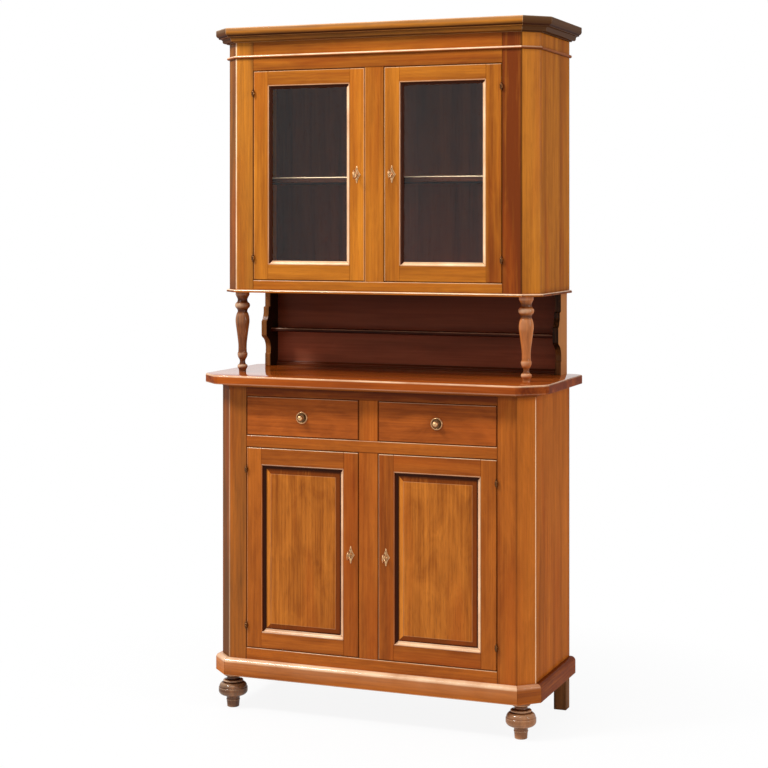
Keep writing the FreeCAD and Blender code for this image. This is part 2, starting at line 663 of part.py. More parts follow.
def raised_panel(x0, x1, y0, y1):
    """Panel whose tongue fills the groove and whose bevel rises to a flat field."""
    hold = GROOVE_DEPTH - PANEL_PLAY
    level = -STUCK_DEPTH
    tongue = box(x0 - hold, x1 + hold, y0 - hold, y1 + hold, level - PANEL_EDGE, level)
    foot = STUCK_WIDTH + PANEL_MARGIN
    field = foot + PANEL_BEVEL
    field_level = -PANEL_RELIEF - PANEL_STEP

    def ring(inset, z):
        points = [(x0 + inset, y0 + inset), (x1 - inset, y0 + inset), (x1 - inset, y1 - inset),
                  (x0 + inset, y1 - inset)]
        corners = [Vector(x, y, z) for x, y in points]
        return Part.makePolygon(corners + corners[:1])

    bevel = Part.makeLoft([ring(foot, level), ring(field, field_level)], True, True)
    top = box(x0 + field, x1 - field, y0 + field, y1 - field, field_level, -PANEL_RELIEF)
    return tongue.fuse([bevel, top]).removeSplitter()


def panel_door(height):
    """Lower door: grooved frame and raised panel."""
    x0, x1 = DOOR_STILE, DOOR_WIDTH - DOOR_STILE
    y0, y1 = DOOR_BOTTOM_RAIL, height - LOWER_TOP_RAIL
    groove = box(x0 - GROOVE_DEPTH, x1 + GROOVE_DEPTH, y0 - GROOVE_DEPTH, y1 + GROOVE_DEPTH,
                 -STUCK_DEPTH - PANEL_EDGE, -STUCK_DEPTH)
    members, sight = door_frame(height, LOWER_TOP_RAIL, groove)
    members = [arrissed(m, DOOR_WIDTH, height) for m in members]
    return members, raised_panel(*sight)


def glass_door(height):
    """Upper door: frame rebated behind for the glass, the pane and its four glazing beads."""
    x0, x1 = DOOR_STILE, DOOR_WIDTH - DOOR_STILE
    y0, y1 = DOOR_BOTTOM_RAIL, height - UPPER_TOP_RAIL
    hold = GROOVE_DEPTH - PANEL_PLAY
    rebate = box(x0 - hold, x1 + hold, y0 - hold, y1 + hold, -BOARD, -STUCK_DEPTH)
    members, sight = door_frame(height, UPPER_TOP_RAIL, rebate)
    members = [arrissed(m, DOOR_WIDTH, height) for m in members]
    edge = hold - PANEL_PLAY
    behind = -STUCK_DEPTH - GLASS_THICK
    glass = box(x0 - edge, x1 + edge, y0 - edge, y1 + edge, behind, -STUCK_DEPTH)
    low = -BOARD + 1
    bead_face = profile((0, low), (GLAZING_BEAD * 0.5, low),
                        (GLAZING_BEAD, behind), (0, behind))
    strips = moulding(clockwise(x0 - hold, x1 + hold, y0 - hold, y1 + hold), bead_face, 0,
                      closed=True)
    return members + strips, glass


# ---- Lock, bolt, key and hinges of a left door, about the key axis or the hinge pin ---------------
def keyhole(depth):
    """Cutter from in front of the escutcheon to a depth behind the face of the door."""
    start = -2 * PLATE_THICK
    bore = cylinder(KEY_RADIUS + 2 * KEY_CLEARANCE, depth - start, Vector(0, start, 0),
                    Vector(0, 1, 0))
    play = 2 * KEY_CLEARANCE
    slot = box(-BIT_THICK / 2 - play, BIT_THICK / 2 + play, start, depth, -BIT_REACH - play, 0)
    return bore.fuse(slot)


def escutcheon():
    """Diamond plate with drawn-out tips."""
    wide = PLATE_WIDTH / 2
    high = PLATE_HEIGHT / 2
    tip = 0.12 * wide
    corners = [(-wide, 0), (-tip, high), (tip, high), (wide, 0), (tip, -high), (-tip, -high)]
    bends = [(-0.36 * wide, 0.50 * high), None, (0.36 * wide, 0.50 * high),
             (0.36 * wide, -0.50 * high), None, (-0.36 * wide, -0.50 * high)]
    steps = []
    for i, bend in enumerate(bends):
        end = corners[(i + 1) % len(corners)]
        steps.append((bend, end) if bend else end)
    plate = profile(corners[0], *steps, cuts=SMALL_CUTS).extrude(Vector(0, -PLATE_THICK, 0))
    return plate.cut(keyhole(0))


def lock_case():
    """Open-fronted case on the back of the door, with a slot for the bolt and a key bearing."""
    x1 = LOCK_BACKSET - CASE_SETBACK
    x0 = x1 - CASE_SIZE
    half = CASE_SIZE / 2
    y1 = BOARD + CASE_DEPTH
    case = box(x0, x1, BOARD, y1, -half, half)
    hollow = box(x0 + CASE_WALL, x1 - CASE_WALL, BOARD - 1, y1 - CASE_WALL,
                 -half + CASE_WALL, half - CASE_WALL)
    y_bolt = bolt_y()
    play = BOLT_CLEARANCE
    slot = box(x1 - 2 * CASE_WALL, x1 + 1, y_bolt - play, y_bolt + BOLT_THICK + play,
               BOLT_LOW - play, BOLT_LOW + BOLT_HEIGHT + play)
    bearing = cylinder(KEY_RADIUS + KEY_CLEARANCE, CASE_DEPTH, Vector(0, BOARD + 1, 0),
                       Vector(0, 1, 0))
    return cut_all(case, [hollow, slot, bearing])


def bolt_y():
    """Front of the bolt, which lies in the middle of the case."""
    return BOARD + (CASE_DEPTH - CASE_WALL - BOLT_THICK) / 2


def bolt():
    """Drawn back; its tip stays inside the free edge of the door."""
    tip = LOCK_BACKSET - CASE_SETBACK + CASE_WALL / 3
    talon_low = -TALON_OFFSET - TALON_WIDTH / 2
    y = bolt_y()
    bar = box(talon_low - BOLT_TAIL, tip, y, y + BOLT_THICK, BOLT_LOW, BOLT_LOW + BOLT_HEIGHT)
    talon = box(talon_low, talon_low + TALON_WIDTH, y - 1, y + BOLT_THICK + 1, 0,
                BIT_REACH + 4 * KEY_CLEARANCE)
    return bar.cut(talon)


def key():
    """Oval bow, shank and bit; the bit hangs down at rest."""
    bow_centre = -PLATE_THICK - BOW_GAP - BOW_REACH
    ring_outer = oval(BOW_REACH, BOW_HALF_HEIGHT)
    ring_inner = oval(BOW_REACH - BOW_RIM, BOW_HALF_HEIGHT - BOW_RIM)
    bow = ring_outer.cut(ring_inner)
    bow.translate(Vector(0, bow_centre, 0))
    shank_start = bow_centre + BOW_REACH - BOW_RIM / 2
    shank = cylinder(KEY_RADIUS, BOARD + CASE_DEPTH - shank_start, Vector(0, shank_start, 0),
                     Vector(0, 1, 0))
    bit_y = bolt_y() + BOLT_THICK / 2 - BIT_WIDTH / 2
    bit = box(-BIT_THICK / 2, BIT_THICK / 2, bit_y, bit_y + BIT_WIDTH, -BIT_REACH, 0)
    return bow.fuse([shank, bit]).removeSplitter()


def oval(reach, half_height):
    """Upright oval plate, BOW_THICK across in X."""
    face = profile((0, -half_height), ((-reach, 0), (0, half_height)),
                   ((reach, 0), (0, -half_height)), cuts=2 * SMALL_CUTS)
    face.rotate(Vector(0, 0, 0), Vector(0, 0, 1), 90)
    face.translate(Vector(-BOW_THICK / 2, 0, 0))
    return face.extrude(Vector(BOW_THICK, 0, 0))


def hinge_half(z, on_door):
    """Leaf and knuckle about the pin, which the lower half carries; the door half is the upper one."""
    gap = PIN_CLEARANCE * 2
    radius = KNUCKLE_RADIUS
    if on_door:
        bore = PIN_RADIUS + PIN_CLEARANCE
        low, high = gap, KNUCKLE_HEIGHT
        face = profile((bore, low), (radius, low), (radius, high), (0, high),
                       (0, PIN_LENGTH + gap), (bore, PIN_LENGTH + gap))
        across = (LEAF_CLEARANCE, DOOR_GAP / 2)
    else:
        low, high = -KNUCKLE_HEIGHT, 0
        face = profile((0, low), (radius, low), (radius, high), (PIN_RADIUS, high),
                       (PIN_RADIUS, PIN_LENGTH), (0, PIN_LENGTH))
        across = (-DOOR_GAP / 2, -LEAF_CLEARANCE)
    leaf = box(*across, PIN_RADIUS + LEAF_CLEARANCE * 2, HINGE_STANDOFF + LEAF_DEPTH, low, high)
    solid = turned(face, 0, 0, 0).fuse(leaf).removeSplitter()
    solid.translate(Vector(0, 0, z))
    return solid


# ---- Hanging the doors ---------------------------------------------------------------------------
def hang_doors():
    frame_halves = []
    levels = (("upper", HUTCH_Y, UPPER_SILL_Z, UPPER_HEAD_Z), ("lower", BASE_Y, LOWER_SILL_Z,
                                                               LOWER_HEAD_Z))
    for level, front_y, sill, head in levels:
        low = sill + DOOR_GAP
        height = head - sill - 2 * DOOR_GAP
        build = glass_door if level == "upper" else panel_door
        members, infill = build(height)
        infill_name = "glass" if level == "upper" else "panel"
        key_place = Vector(-CENTRE_X - DOOR_GAP - LOCK_BACKSET, front_y, low + height / 2)
        pin_place = Vector(-OPENING_X + DOOR_GAP / 2, front_y - HINGE_STANDOFF, 0)
        members = [stood_up(m, DOOR_LEFT_X, front_y, low) for m in members]
        hole = keyhole(BOARD)
        hole.translate(key_place)
        members = [m.cut(hole) for m in members]
        infill = stood_up(infill, DOOR_LEFT_X, front_y, low)
        lock = [escutcheon(), lock_case()]
        the_bolt = bolt()
        the_key = key()
        for solid in lock + [the_bolt, the_key]:
            solid.translate(key_place)
        centres = (low + HINGE_INSET, low + height - HINGE_INSET)
        door_halves = [hinge_half(z, True) for z in centres]
        fixed = [hinge_half(z, False) for z in centres]
        for solid in door_halves + fixed:
            solid.translate(pin_place)
        frame_halves += fixed
        pieces = {"frame": members, infill_name: [infill], "lock": lock, "bolt": [the_bolt],
                  "key": [the_key], "hinges": door_halves}
        for piece, solids in pieces.items():
            node(f"{level}_door_left_{piece}", *solids)
            node(f"{level}_door_right_{piece}", *[mirrored(s) for s in solids])
    node("hinge_pins", *frame_halves, *[mirrored(s) for s in frame_halves])


# ---- Drawers -------------------------------------------------------------------------------------
def dovetailed_side(x0, x1, low, high):
    """Drawer side with tails that flare towards the front."""
    shoulder = BASE_Y + BOARD
    side = box(x0, x1, shoulder, DRAWER_BACK_Y, low, high)
    pitch = (high - low) / DOVETAIL_COUNT
    neck = pitch * 0.5 - DOVETAIL_FLARE
    for i in range(DOVETAIL_COUNT):
        centre = low + (i + 0.5) * pitch
        corners = [Vector(x0, shoulder, centre - neck / 2),
                   Vector(x0, shoulder, centre + neck / 2),
                   Vector(x0, shoulder - DOVETAIL_LENGTH, centre + neck / 2 + DOVETAIL_FLARE),
                   Vector(x0, shoulder - DOVETAIL_LENGTH, centre - neck / 2 - DOVETAIL_FLARE)]
        tail = Part.Face(Part.makePolygon(corners + corners[:1])).extrude(Vector(x1 - x0, 0, 0))
        side = side.fuse(tail)
    return side.removeSplitter()


def drawers():
    x0 = DOOR_LEFT_X
    x1 = x0 + DOOR_WIDTH
    low = DRAWER_Z + DOOR_GAP
    high = DRAWER_TOP_Z - DOOR_GAP
    front = box(x0, x1, BASE_Y, BASE_Y + BOARD, low, high)
    front = eased(front, DOOR_ARRIS, lambda c, e: abs(c.y - BASE_Y) < 0.01)
    box_low = DRAWER_Z + DRAWER_LIFT
    box_high = high - DRAWER_BOX_DROP
    left = dovetailed_side(x0, x0 + DRAWER_SIDE, box_low, box_high)
    right = dovetailed_side(x1 - DRAWER_SIDE, x1, box_low, box_high)
    inner_x0 = x0 + DRAWER_SIDE
    inner_x1 = x1 - DRAWER_SIDE
    bottom_low = low + DRAWER_BOTTOM_UP
    hold = DRAWER_BOTTOM_HOLD
    bottom = box(inner_x0 - hold, inner_x1 + hold, BASE_Y + BOARD - hold, DRAWER_BACK_Y, bottom_low,
                 bottom_low + DRAWER_BOTTOM)
    back = box(inner_x0, inner_x1, DRAWER_BACK_Y - DRAWER_SIDE, DRAWER_BACK_Y,
               bottom_low + DRAWER_BOTTOM, box_high)
    front = cut_all(front, [left, right, bottom])
    sides = [s.cut(bottom) for s in (left, right)]
    knob = knob_solid()
    knob.translate(Vector((x0 + x1) / 2, BASE_Y, (low + high) / 2))
    pieces = {"front": [front], "box": sides + [back, bottom], "knob": [knob]}
    for piece, solids in pieces.items():
        node(f"drawer_left_{piece}", *solids)
        node(f"drawer_right_{piece}", *[mirrored(s) for s in solids])


def knob_solid():
    """Rosette, neck and round knob, turned about the Y axis."""
    rim = KNOB_PLATE_RADIUS
    ball = KNOB_BALL_RADIUS
    centre = KNOB_REACH - ball
    waist = 0.5 * ball
    cheek = 0.4 * ball
    face = profile((0, 0), (rim, 0), (rim, KNOB_PLATE_THICK), (waist, KNOB_PLATE_THICK),
                   (waist, centre - 2 * cheek), (ball, centre - cheek), (ball, centre + cheek),
                   (waist, KNOB_REACH), (0, KNOB_REACH))
    solid = face.revolve(Vector(0, 0, 0), Vector(0, 0, 1), 360)
    solid.rotate(Vector(0, 0, 0), Vector(1, 0, 0), 90)
    return solid


# ---- The dresser ---------------------------------------------------------------------------------
def build():
    base_carcass()
    feet()
    plinth()
    drawer_runners()
    node("worktop", cut_all(worktop(), column_dowels(RECESS_Z)))
    columns()
    recess()
    beads()
    hutch_carcass()
    cornice()
    hang_doors()
    drawers()


build()
os.makedirs("parts", exist_ok=True)
for name, solids in NODES.items():
    shape = solids[0] if len(solids) == 1 else Part.makeCompound(solids)
    shape.exportStep(f"parts/{name}.step")
    counts = (len(shape.Solids), shape.isValid(), round(shape.Volume / 1000, 1))
    print(f"{name}: {counts[0]} solids, valid {counts[1]}, {counts[2]} cm3")
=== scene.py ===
"""Finished looks of a dresser with a glazed hutch.

Every visible board, moulding, turning and fitting is a surface worked out with numpy round the
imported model, in its own frame: X to the right, Y to the back, Z up, origin on the floor.  Shapes
are worked out in millimetres and written to the meshes in metres.
"""
import bpy
import json
import numpy as np
from bpy.props import FloatProperty, FloatVectorProperty, IntProperty, PointerProperty
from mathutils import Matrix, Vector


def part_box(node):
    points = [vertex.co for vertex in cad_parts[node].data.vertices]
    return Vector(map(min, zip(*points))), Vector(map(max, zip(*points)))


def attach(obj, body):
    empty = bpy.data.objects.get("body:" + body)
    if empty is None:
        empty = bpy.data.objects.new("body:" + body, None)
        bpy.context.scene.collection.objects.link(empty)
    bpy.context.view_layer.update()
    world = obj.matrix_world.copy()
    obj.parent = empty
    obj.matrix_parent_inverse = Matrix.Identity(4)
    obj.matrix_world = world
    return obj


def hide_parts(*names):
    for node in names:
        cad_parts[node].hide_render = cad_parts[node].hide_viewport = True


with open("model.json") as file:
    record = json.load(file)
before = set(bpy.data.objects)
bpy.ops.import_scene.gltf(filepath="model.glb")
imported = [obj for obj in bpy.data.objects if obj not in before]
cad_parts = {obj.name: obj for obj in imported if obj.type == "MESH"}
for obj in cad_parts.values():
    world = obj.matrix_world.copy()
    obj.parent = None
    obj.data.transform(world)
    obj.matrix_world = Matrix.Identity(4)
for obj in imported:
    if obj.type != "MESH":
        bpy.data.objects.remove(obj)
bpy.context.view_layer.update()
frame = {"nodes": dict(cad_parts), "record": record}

bl_info = {
    "name": "Dresser with hutch",
    "version": (1, 0, 0),
    "blender": (4, 5, 0),
    "location": "View3D > Sidebar > Dresser",
    "description": "Builds the wood, brass and glass of a cherry dresser with a glazed hutch",
    "category": "Add Mesh",
}

# ---- Places taken from the frame, in millimetres -------------------------------------------------
MM = 0.001
BODIES = {node: body for body, nodes in frame["record"]["behaviour"]["bodies"].items()
          for node in nodes}


def low(node):
    return np.array(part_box(node)[0]) / MM


def high(node):
    return np.array(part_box(node)[1]) / MM


HALF, BACK_Y, WORKTOP_Z = high("base_side_right")
FOOT_TOP = low("base_side_right")[2]
BASE_Y = low("base_face_frame")[1]
HUTCH_Y = low("hutch_face_frame")[1]
PANEL_Y = low("hutch_back_panel")[1]
RECESS_Z = high("worktop")[2]
HUTCH_Z = low("hutch_bottom")[2]
HUTCH_WALL_Z = low("hutch_side_right")[2]
CARCASS_TOP_Z = high("hutch_side_right")[2]
CORNICE_Z = low("cornice")[2]

# ---- Sizes of the joinery, in millimetres --------------------------------------------------------
BOARD = 22.0
CORNER_CHAMFER = 47.0
WORKTOP_CHAMFER = 72.0
WORKTOP_CORNER = 24.0           # radius of the plan corners of the worktop
SHADOW_BAND = (0.0, 9.0, 26.0)  # under the worktop it is dark to 9, and fades out by 26
PLINTH_HEIGHT = 55.5
PLINTH_PROJECTION = 20.0
REAR_LEG = 41.0
FOOT_RADIUS = 47.0
FOOT_X, FOOT_Y = HALF - 44.0, BASE_Y + 35.0
COLUMN_RADIUS = 23.0
COLUMN_X, COLUMN_Y = HALF - 46.5, HUTCH_Y + 48.5
BRACKET_DEPTH = 100.0
BRACKET_INSET = 8.5
BRACKET_THICK = 19.0
SKIRTING_THICK = 9.0
SKIRTING_HEIGHT = 14.0
DOOR_GAP = 2.0
DOOR_STILE = 50.0
DOOR_BOTTOM_RAIL = 49.0
TOP_RAILS = {"upper": 45.0, "lower": 52.0}
STUCK_WIDTH = 12.5
STUCK_DEPTH = 9.0
PANEL_SET = 12.0                # foot of the stuck moulding behind the face of a lower door
PANEL_MARGIN = 29.5             # from the frame to the raised field of a panel
PANEL_FIELD = 8.5               # raised field behind the face of the door
GROOVE_DEPTH = 8.0
PANEL_EDGE = 6.0
PANEL_PLAY = 1.0
GLASS_THICK = 4.0
GLAZING_BEAD = 9.0
TENON_SHOULDER = 0.35           # easing where one member butts against another
LEVELS = {"upper": HUTCH_Y, "lower": BASE_Y}

DIAGONAL = 2 - np.sqrt(2)
POST_RETURN = BOARD * (np.sqrt(2) - 1)
BEHIND_POST = CORNER_CHAMFER + POST_RETURN
OPENING_X = -low("upper_door_left_frame")[0] + DOOR_GAP
CENTRE_X = -high("upper_door_left_frame")[0] - DOOR_GAP
DOOR_WIDTH = OPENING_X - CENTRE_X - 2 * DOOR_GAP
SILL = {level: low(f"{level}_door_left_frame")[2] - DOOR_GAP for level in LEVELS}
HEAD = {level: high(f"{level}_door_left_frame")[2] + DOOR_GAP for level in LEVELS}
DRAWER_LOW = low("drawer_left_front")[2] - DOOR_GAP
DRAWER_HIGH = high("drawer_left_front")[2] + DOOR_GAP

ROSETTE_RADIUS = 19.5
BALL_RADIUS = 9.5
KNOB_REACH = 23.0
LOCK_BACKSET = 25.0
KEYHOLE_RADIUS = 3.1
SLOT_HALF = 1.85                # half the width of the keyhole's slot
SLOT_REACH = 10.6               # foot of the slot under the axis of the key
CASE_HALF = 24.0
CASE_DEPTH = 12.0
CASE_WALL = 1.5
BOLT_SLOT = (4.7, 15.3)         # heights of the slot for the bolt, over the axis of the key
KEY_RADIUS = 2.5
BOW_Y = -19.5                   # middle of the bow
BOW_REACH, BOW_TALL = 10.75, 12.75
HINGE_STANDOFF = 5.0
HINGE_INSET = 70.0
KNUCKLE_RADIUS = 4.9
KNUCKLE_HEIGHT = 12.0
KNUCKLE_BODY = 8.6              # height of the rounded knuckle, below its ball tip

X, Y, Z = np.eye(3)


# ---- Outlines: (points, curved, edge) ------------------------------------------------------------
ARC_CUTS = 10
EASE_CUTS = 3
SHARP_TURN = np.radians(24)
FADE = 1.6                      # width over which the edge value of an arris fades out
SIDE_SHARE = 0.42               # share of the shorter side beside a corner that it may take up


def arc(a, b, c, cuts):
    """Points after a on the circle through a, b and c.

    With the points as complex numbers and w = (c - a) / (b - a), the centre is
    a + (b - a)(w - |w|^2) / (2i Im w); the radius vector turns evenly from a by way of b to c.
    """
    a, b, c = (complex(*p) for p in (a, b, c))
    w = (c - a) / (b - a)
    centre = a + (b - a) * (w - abs(w) ** 2) / (2j * w.imag)
    sweep = np.angle((b - centre) / (a - centre)) + np.angle((c - centre) / (b - centre))
    turned = centre + (a - centre) * np.exp(1j * sweep * np.arange(1, cuts + 1) / cuts)
    return np.stack([turned.real, turned.imag], 1)


def outline(start, *steps, scale=(1, 1), cuts=ARC_CUTS):
    """Straight runs and arcs from a start; a step is a point, or a (middle, end) pair."""
    points = [np.array([start], float) * scale]
    curved = []
    for step in steps:
        if np.ndim(step[0]):
            points.append(arc(points[-1][-1], *np.array(step, float) * scale, cuts))
            curved += [True] * cuts
        else:
            points.append(np.array([step], float) * scale)
            curved.append(False)
    return np.concatenate(points), np.array(curved + [False])


def rectangle(x0, x1, y0, y1):
    return outline((x0, y0), (x1, y0), (x1, y1), (x0, y1))


def signed_area(points):
    """Half the sum of the cross products of neighbouring points."""
    following = np.roll(points, -1, 0)
    return np.sum(points[:, 0] * following[:, 1] - points[:, 1] * following[:, 0]) / 2


def eased(shape, radius, fade=FADE, edge_values=1.0):
    """Closed outline with each outward corner rounded off, and the outline's edge values.

    A corner that turns by t loses r tan(t / 2) of each side, and one more point between the arc
    of radius r and its chord rounds it.  The edge value is the given one on a rounded corner, -1
    in an inward corner, for wax in the quirk and painted shade, and 0 on the flats; points put a
    short way along each side of a corner let it fade out.  Each corner may have its own radius and
    its own edge value, which carries wear, painted highlight and painted shade.
    """
    points, curved = shape
    radii = np.broadcast_to(radius, len(points))
    edge_values = np.broadcast_to(edge_values, len(points))
    if signed_area(points) < 0:
        points, radii, edge_values = points[::-1], radii[::-1], edge_values[::-1]
        curved = np.roll(curved[::-1], -1)
    count = len(points)
    legs = np.roll(points, -1, 0) - points
    lengths = np.linalg.norm(legs, axis=1)
    ways = legs / lengths[:, None]
    made, bends, edge = [], [], []
    for i in range(count):
        before, after = ways[i - 1], ways[i]
        turn = np.arctan2(before[0] * after[1] - before[1] * after[0], before @ after)
        room = SIDE_SHARE * min(lengths[i - 1], lengths[i])
        if turn > SHARP_TURN and radii[i] > 0:
            cut = min(radii[i] * np.tan(turn / 2), 0.6 * room)
            start, end = points[i] - before * cut, points[i] + after * cut
            middle = points[i] + (after - before) * cut * 0.5 * (1 - 0.42 * np.tan(turn / 4))
            run = min(fade, room - cut)
            made += [start - before * run, start, middle, end, end + after * run]
            bends += [False, True, True, False, curved[i]]
            edge += [0, edge_values[i], edge_values[i], edge_values[i], 0]
        elif turn < -SHARP_TURN:
            run = min(fade, room) * 0.6
            made += [points[i] - before * run, points[i], points[i] + after * run]
            bends += [False, False, curved[i]]
            edge += [0, -1, 0]
        else:
            made.append(points[i])
            bends.append(curved[i])
            edge.append(0)
    return np.array(made), np.array(bends), np.array(edge, float)


def offsets(points):
    """Mitred outward direction at each point: (n1 + n2) / (1 + n1.n2) of its two edge normals."""
    legs = np.roll(points, -1, 0) - points
    ways = legs / np.linalg.norm(legs, axis=1)[:, None]
    normals = np.stack([ways[:, 1], -ways[:, 0]], 1)
    before = np.roll(normals, 1, 0)
    return (normals + before) / (1 + np.sum(normals * before, 1))[:, None]


# ---- Surfaces ------------------------------------------------------------------------------------
JOINT_LINE = 0.9                # width of the dark line at a mitre
JOINT_SOIL = -0.3               # edge value of an end that butts against another member
LYING_LIGHT_AND_SHADE = (-0.7, 0, 0, 0.8)       # horizontal front member: painted shade under it, painted highlight on its top arris
STANDING_SHADE = (-0.7, -0.7, 0, 0)   # upright front member: painted shade on both front arrises, beside the doors and drawers
BACK_EDGE = (-0.2, 0, 0, -0.7)  # edge values of a side board: darker at its outer back edge
SMOOTH_LIMIT = np.radians(38)
# Direction the painted light comes from: arrises turned to it get painted highlights, faces turned
# away painted shade.
LIGHT_SIDE = np.array([-0.55, -0.45, 0.70])
FACE_ON = 0.45                  # how far the fronts look towards the side the painted light comes from
GRAIN_REACH = 9.0               # metres within which each solid takes its place in the figure
TONE_SPREAD = 0.12              # spread of the tone from solid to solid


class Surface:
    """Closed solids of one piece: points, faces, and what the finish reads from them.

    Each solid has its own grain frame (along, across, depth, with an offset of its own) and tone,
    so no two boards match.  Tone and edge value ride on the corners of the faces; both also carry
    painted light.  Faces that look away from the side the painted light comes from get painted
    shade: shade makes them deeper, and the painted highlights on their arrises weaker.
    """

    def __init__(self, name, turn=None, move=(0, 0, 0), mirror=False, tone=0.0, rub=0.3, shade=0.0):
        self.name = name
        self.random = np.random.default_rng(sum(ord(c) * (i + 7) for i, c in enumerate(name)))
        self.turn = np.eye(3) if turn is None else turn
        self.move = np.array(move, float)
        self.mirror = mirror
        self.tone, self.rub, self.shade = tone, rub, shade
        self.points, self.grain, self.tones = [], [], []
        self.faces, self.smooth, self.edge = [], [], []
        self.count = 0

    def loft(self, rings, edge, curved, along, tone=0.0, looped=False, cap_tones=(0.0, 0.0)):
        """Quads between rings of points, rings[i, j] being place j round ring i.

        The two end rings are closed by flat faces, or joined to each other where looped is set.
        The tone may differ from quad to quad.  The solid's volume, the sum of a . (b x c) over
        its triangles, tells whether its faces have to be turned outwards.
        """
        rows, across, _ = rings.shape
        index = np.arange(rows * across).reshape(rows, across)
        if looped:
            index = np.concatenate([index, index[:1]])
        a, d = index[:-1], index[1:]
        b, c = np.roll(a, -1, 1), np.roll(d, -1, 1)
        quads = np.stack([a, b, c, d], -1).reshape(-1, 4)
        flat = rings.reshape(-1, 3)
        placed = flat @ self.turn.T + self.move
        if self.mirror:
            placed = placed * (-1, 1, 1)
        corners = placed[quads]
        faces = quads.tolist()
        volume = np.sum(np.cross(corners[:, 0], corners[:, 1]) * corners[:, 2])
        volume += np.sum(np.cross(corners[:, 0], corners[:, 2]) * corners[:, 3])
        caps = []
        if not looped:
            caps = [index[0, ::-1].tolist(), index[-1].tolist()]
            for cap in caps:
                fan = placed[cap]
                volume += np.sum(np.cross(fan[1:-1], fan[2:]) @ fan[0])
        faces += caps
        if volume < 0:
            faces = [face[::-1] for face in faces]
            quads, corners = quads[:, ::-1], corners[:, ::-1]
        normals = np.cross(corners[:, 2] - corners[:, 0], corners[:, 3] - corners[:, 1])
        normals /= np.maximum(np.linalg.norm(normals, axis=1), 1e-9)[:, None]
        # How far each face looks towards the side the painted light comes from.
        toward_light = normals @ LIGHT_SIDE
        values = edge.reshape(-1)[quads]
        # Painted highlight: pale edge values are kept on faces turned to the light and cut on faces
        # turned away.
        rub = self.rub * np.clip(0.45 + 0.8 * toward_light, 0, 1)
        values = np.where(values > 0, values * rub[:, None], values)
        self.faces += [[vertex + self.count for vertex in face] for face in faces]
        self.smooth += [np.broadcast_to(curved, a.shape).reshape(-1), np.zeros(len(caps), bool)]
        self.edge += [values.reshape(-1), np.zeros(sum(map(len, caps)))]
        along = np.array(along, float) / np.linalg.norm(along)
        across_way = np.cross(Z if abs(along[2]) < 0.9 else Y, along)
        across_way /= np.linalg.norm(across_way)
        axes = np.stack([along, across_way, np.cross(along, across_way)])
        self.points.append(placed)
        offset = self.random.uniform(-GRAIN_REACH, GRAIN_REACH, 3)
        self.grain.append(flat @ axes.T * MM + offset)
        own = self.tone + self.random.normal(0, TONE_SPREAD)
        shades = np.broadcast_to(tone, a.shape).reshape(-1) + own
        # Painted shade: faces turned away from the light get a deeper tone.
        shades = shades + self.shade * np.minimum(toward_light - FACE_ON, 0.4)
        cap_tones = np.repeat(cap_tones[:len(caps)], [len(cap) for cap in caps])
        self.tones += [np.repeat(shades, 4), cap_tones + own]
        self.count += len(flat)

    def prism(self, shape, axis, start, end, along, ease=0.8, tone=0.0, fade=FADE, edge_values=None,
              cap_tones=(0.0, 0.0)):
        """Outline pulled along an axis, its end edges rounded by quarter circles.

        At angle t of the quarter circle of radius r, the outline is drawn in by r(1 - sin t) and
        stands r(1 - cos t) in from the end.  The ends have edge values of their own: pale by
        default, as wear and painted highlight, and dark where the end butts against another member;
        given ones may paint the shade under a worktop or cornice.
        """
        points, curved, edge = shape
        way = offsets(points)
        eases = np.broadcast_to(ease, 2)
        marks = np.where(eases > TENON_SHOULDER, 1.0, JOINT_SOIL) if edge_values is None else edge_values
        t = np.linspace(0, np.pi / 2, EASE_CUTS + 1)
        room = (end - start) * 0.4
        parts = []
        for face, sign, radius, mark in zip((start, end), (1, -1), eases, marks):
            rise = inset = rubbed = np.zeros(1)
            if radius > 0:
                rise = np.append(radius * (1 - np.cos(t)), radius + min(fade, room - radius))
                inset = np.append(radius * (1 - np.sin(t)), 0)
                rubbed = np.append(np.full(len(t), mark), 0)
            parts.append(np.stack([face + sign * rise, inset, rubbed])[:, ::sign])
        heights, insets, rubbed = np.concatenate(parts, 1)
        section = points[None] - insets[:, None, None] * way[None]
        rings = np.empty(section.shape[:2] + (3,))
        others = [k for k in range(3) if k != axis]
        rings[..., others] = section
        rings[..., axis] = heights[:, None]
        values = np.where(rubbed[:, None] != 0, rubbed[:, None], edge[None])
        rounding = np.diff(insets) != 0
        bends = rounding[:, None] | curved[None]
        self.loft(rings, values, bends, along, tone, cap_tones=cap_tones)

    def board(self, a, b, along, ease=0.8, tone=0.0, ends=None, fade=FADE, edge_values=1.0,
              end_edge_values=None):
        """Rectangular member between two corners, with its grain along one axis."""
        a, b = np.minimum(a, b), np.maximum(a, b)
        others = [k for k in range(3) if k != along]
        shape = rectangle(a[others[0]], b[others[0]], a[others[1]], b[others[1]])
        thin = 0.3 * (b - a).min()
        section = eased(shape, min(ease, thin), fade, edge_values)
        ends = min(ease, thin) if ends is None else ends
        self.prism(section, along, a[along], b[along], np.eye(3)[along], ends, tone, fade,
                   end_edge_values)

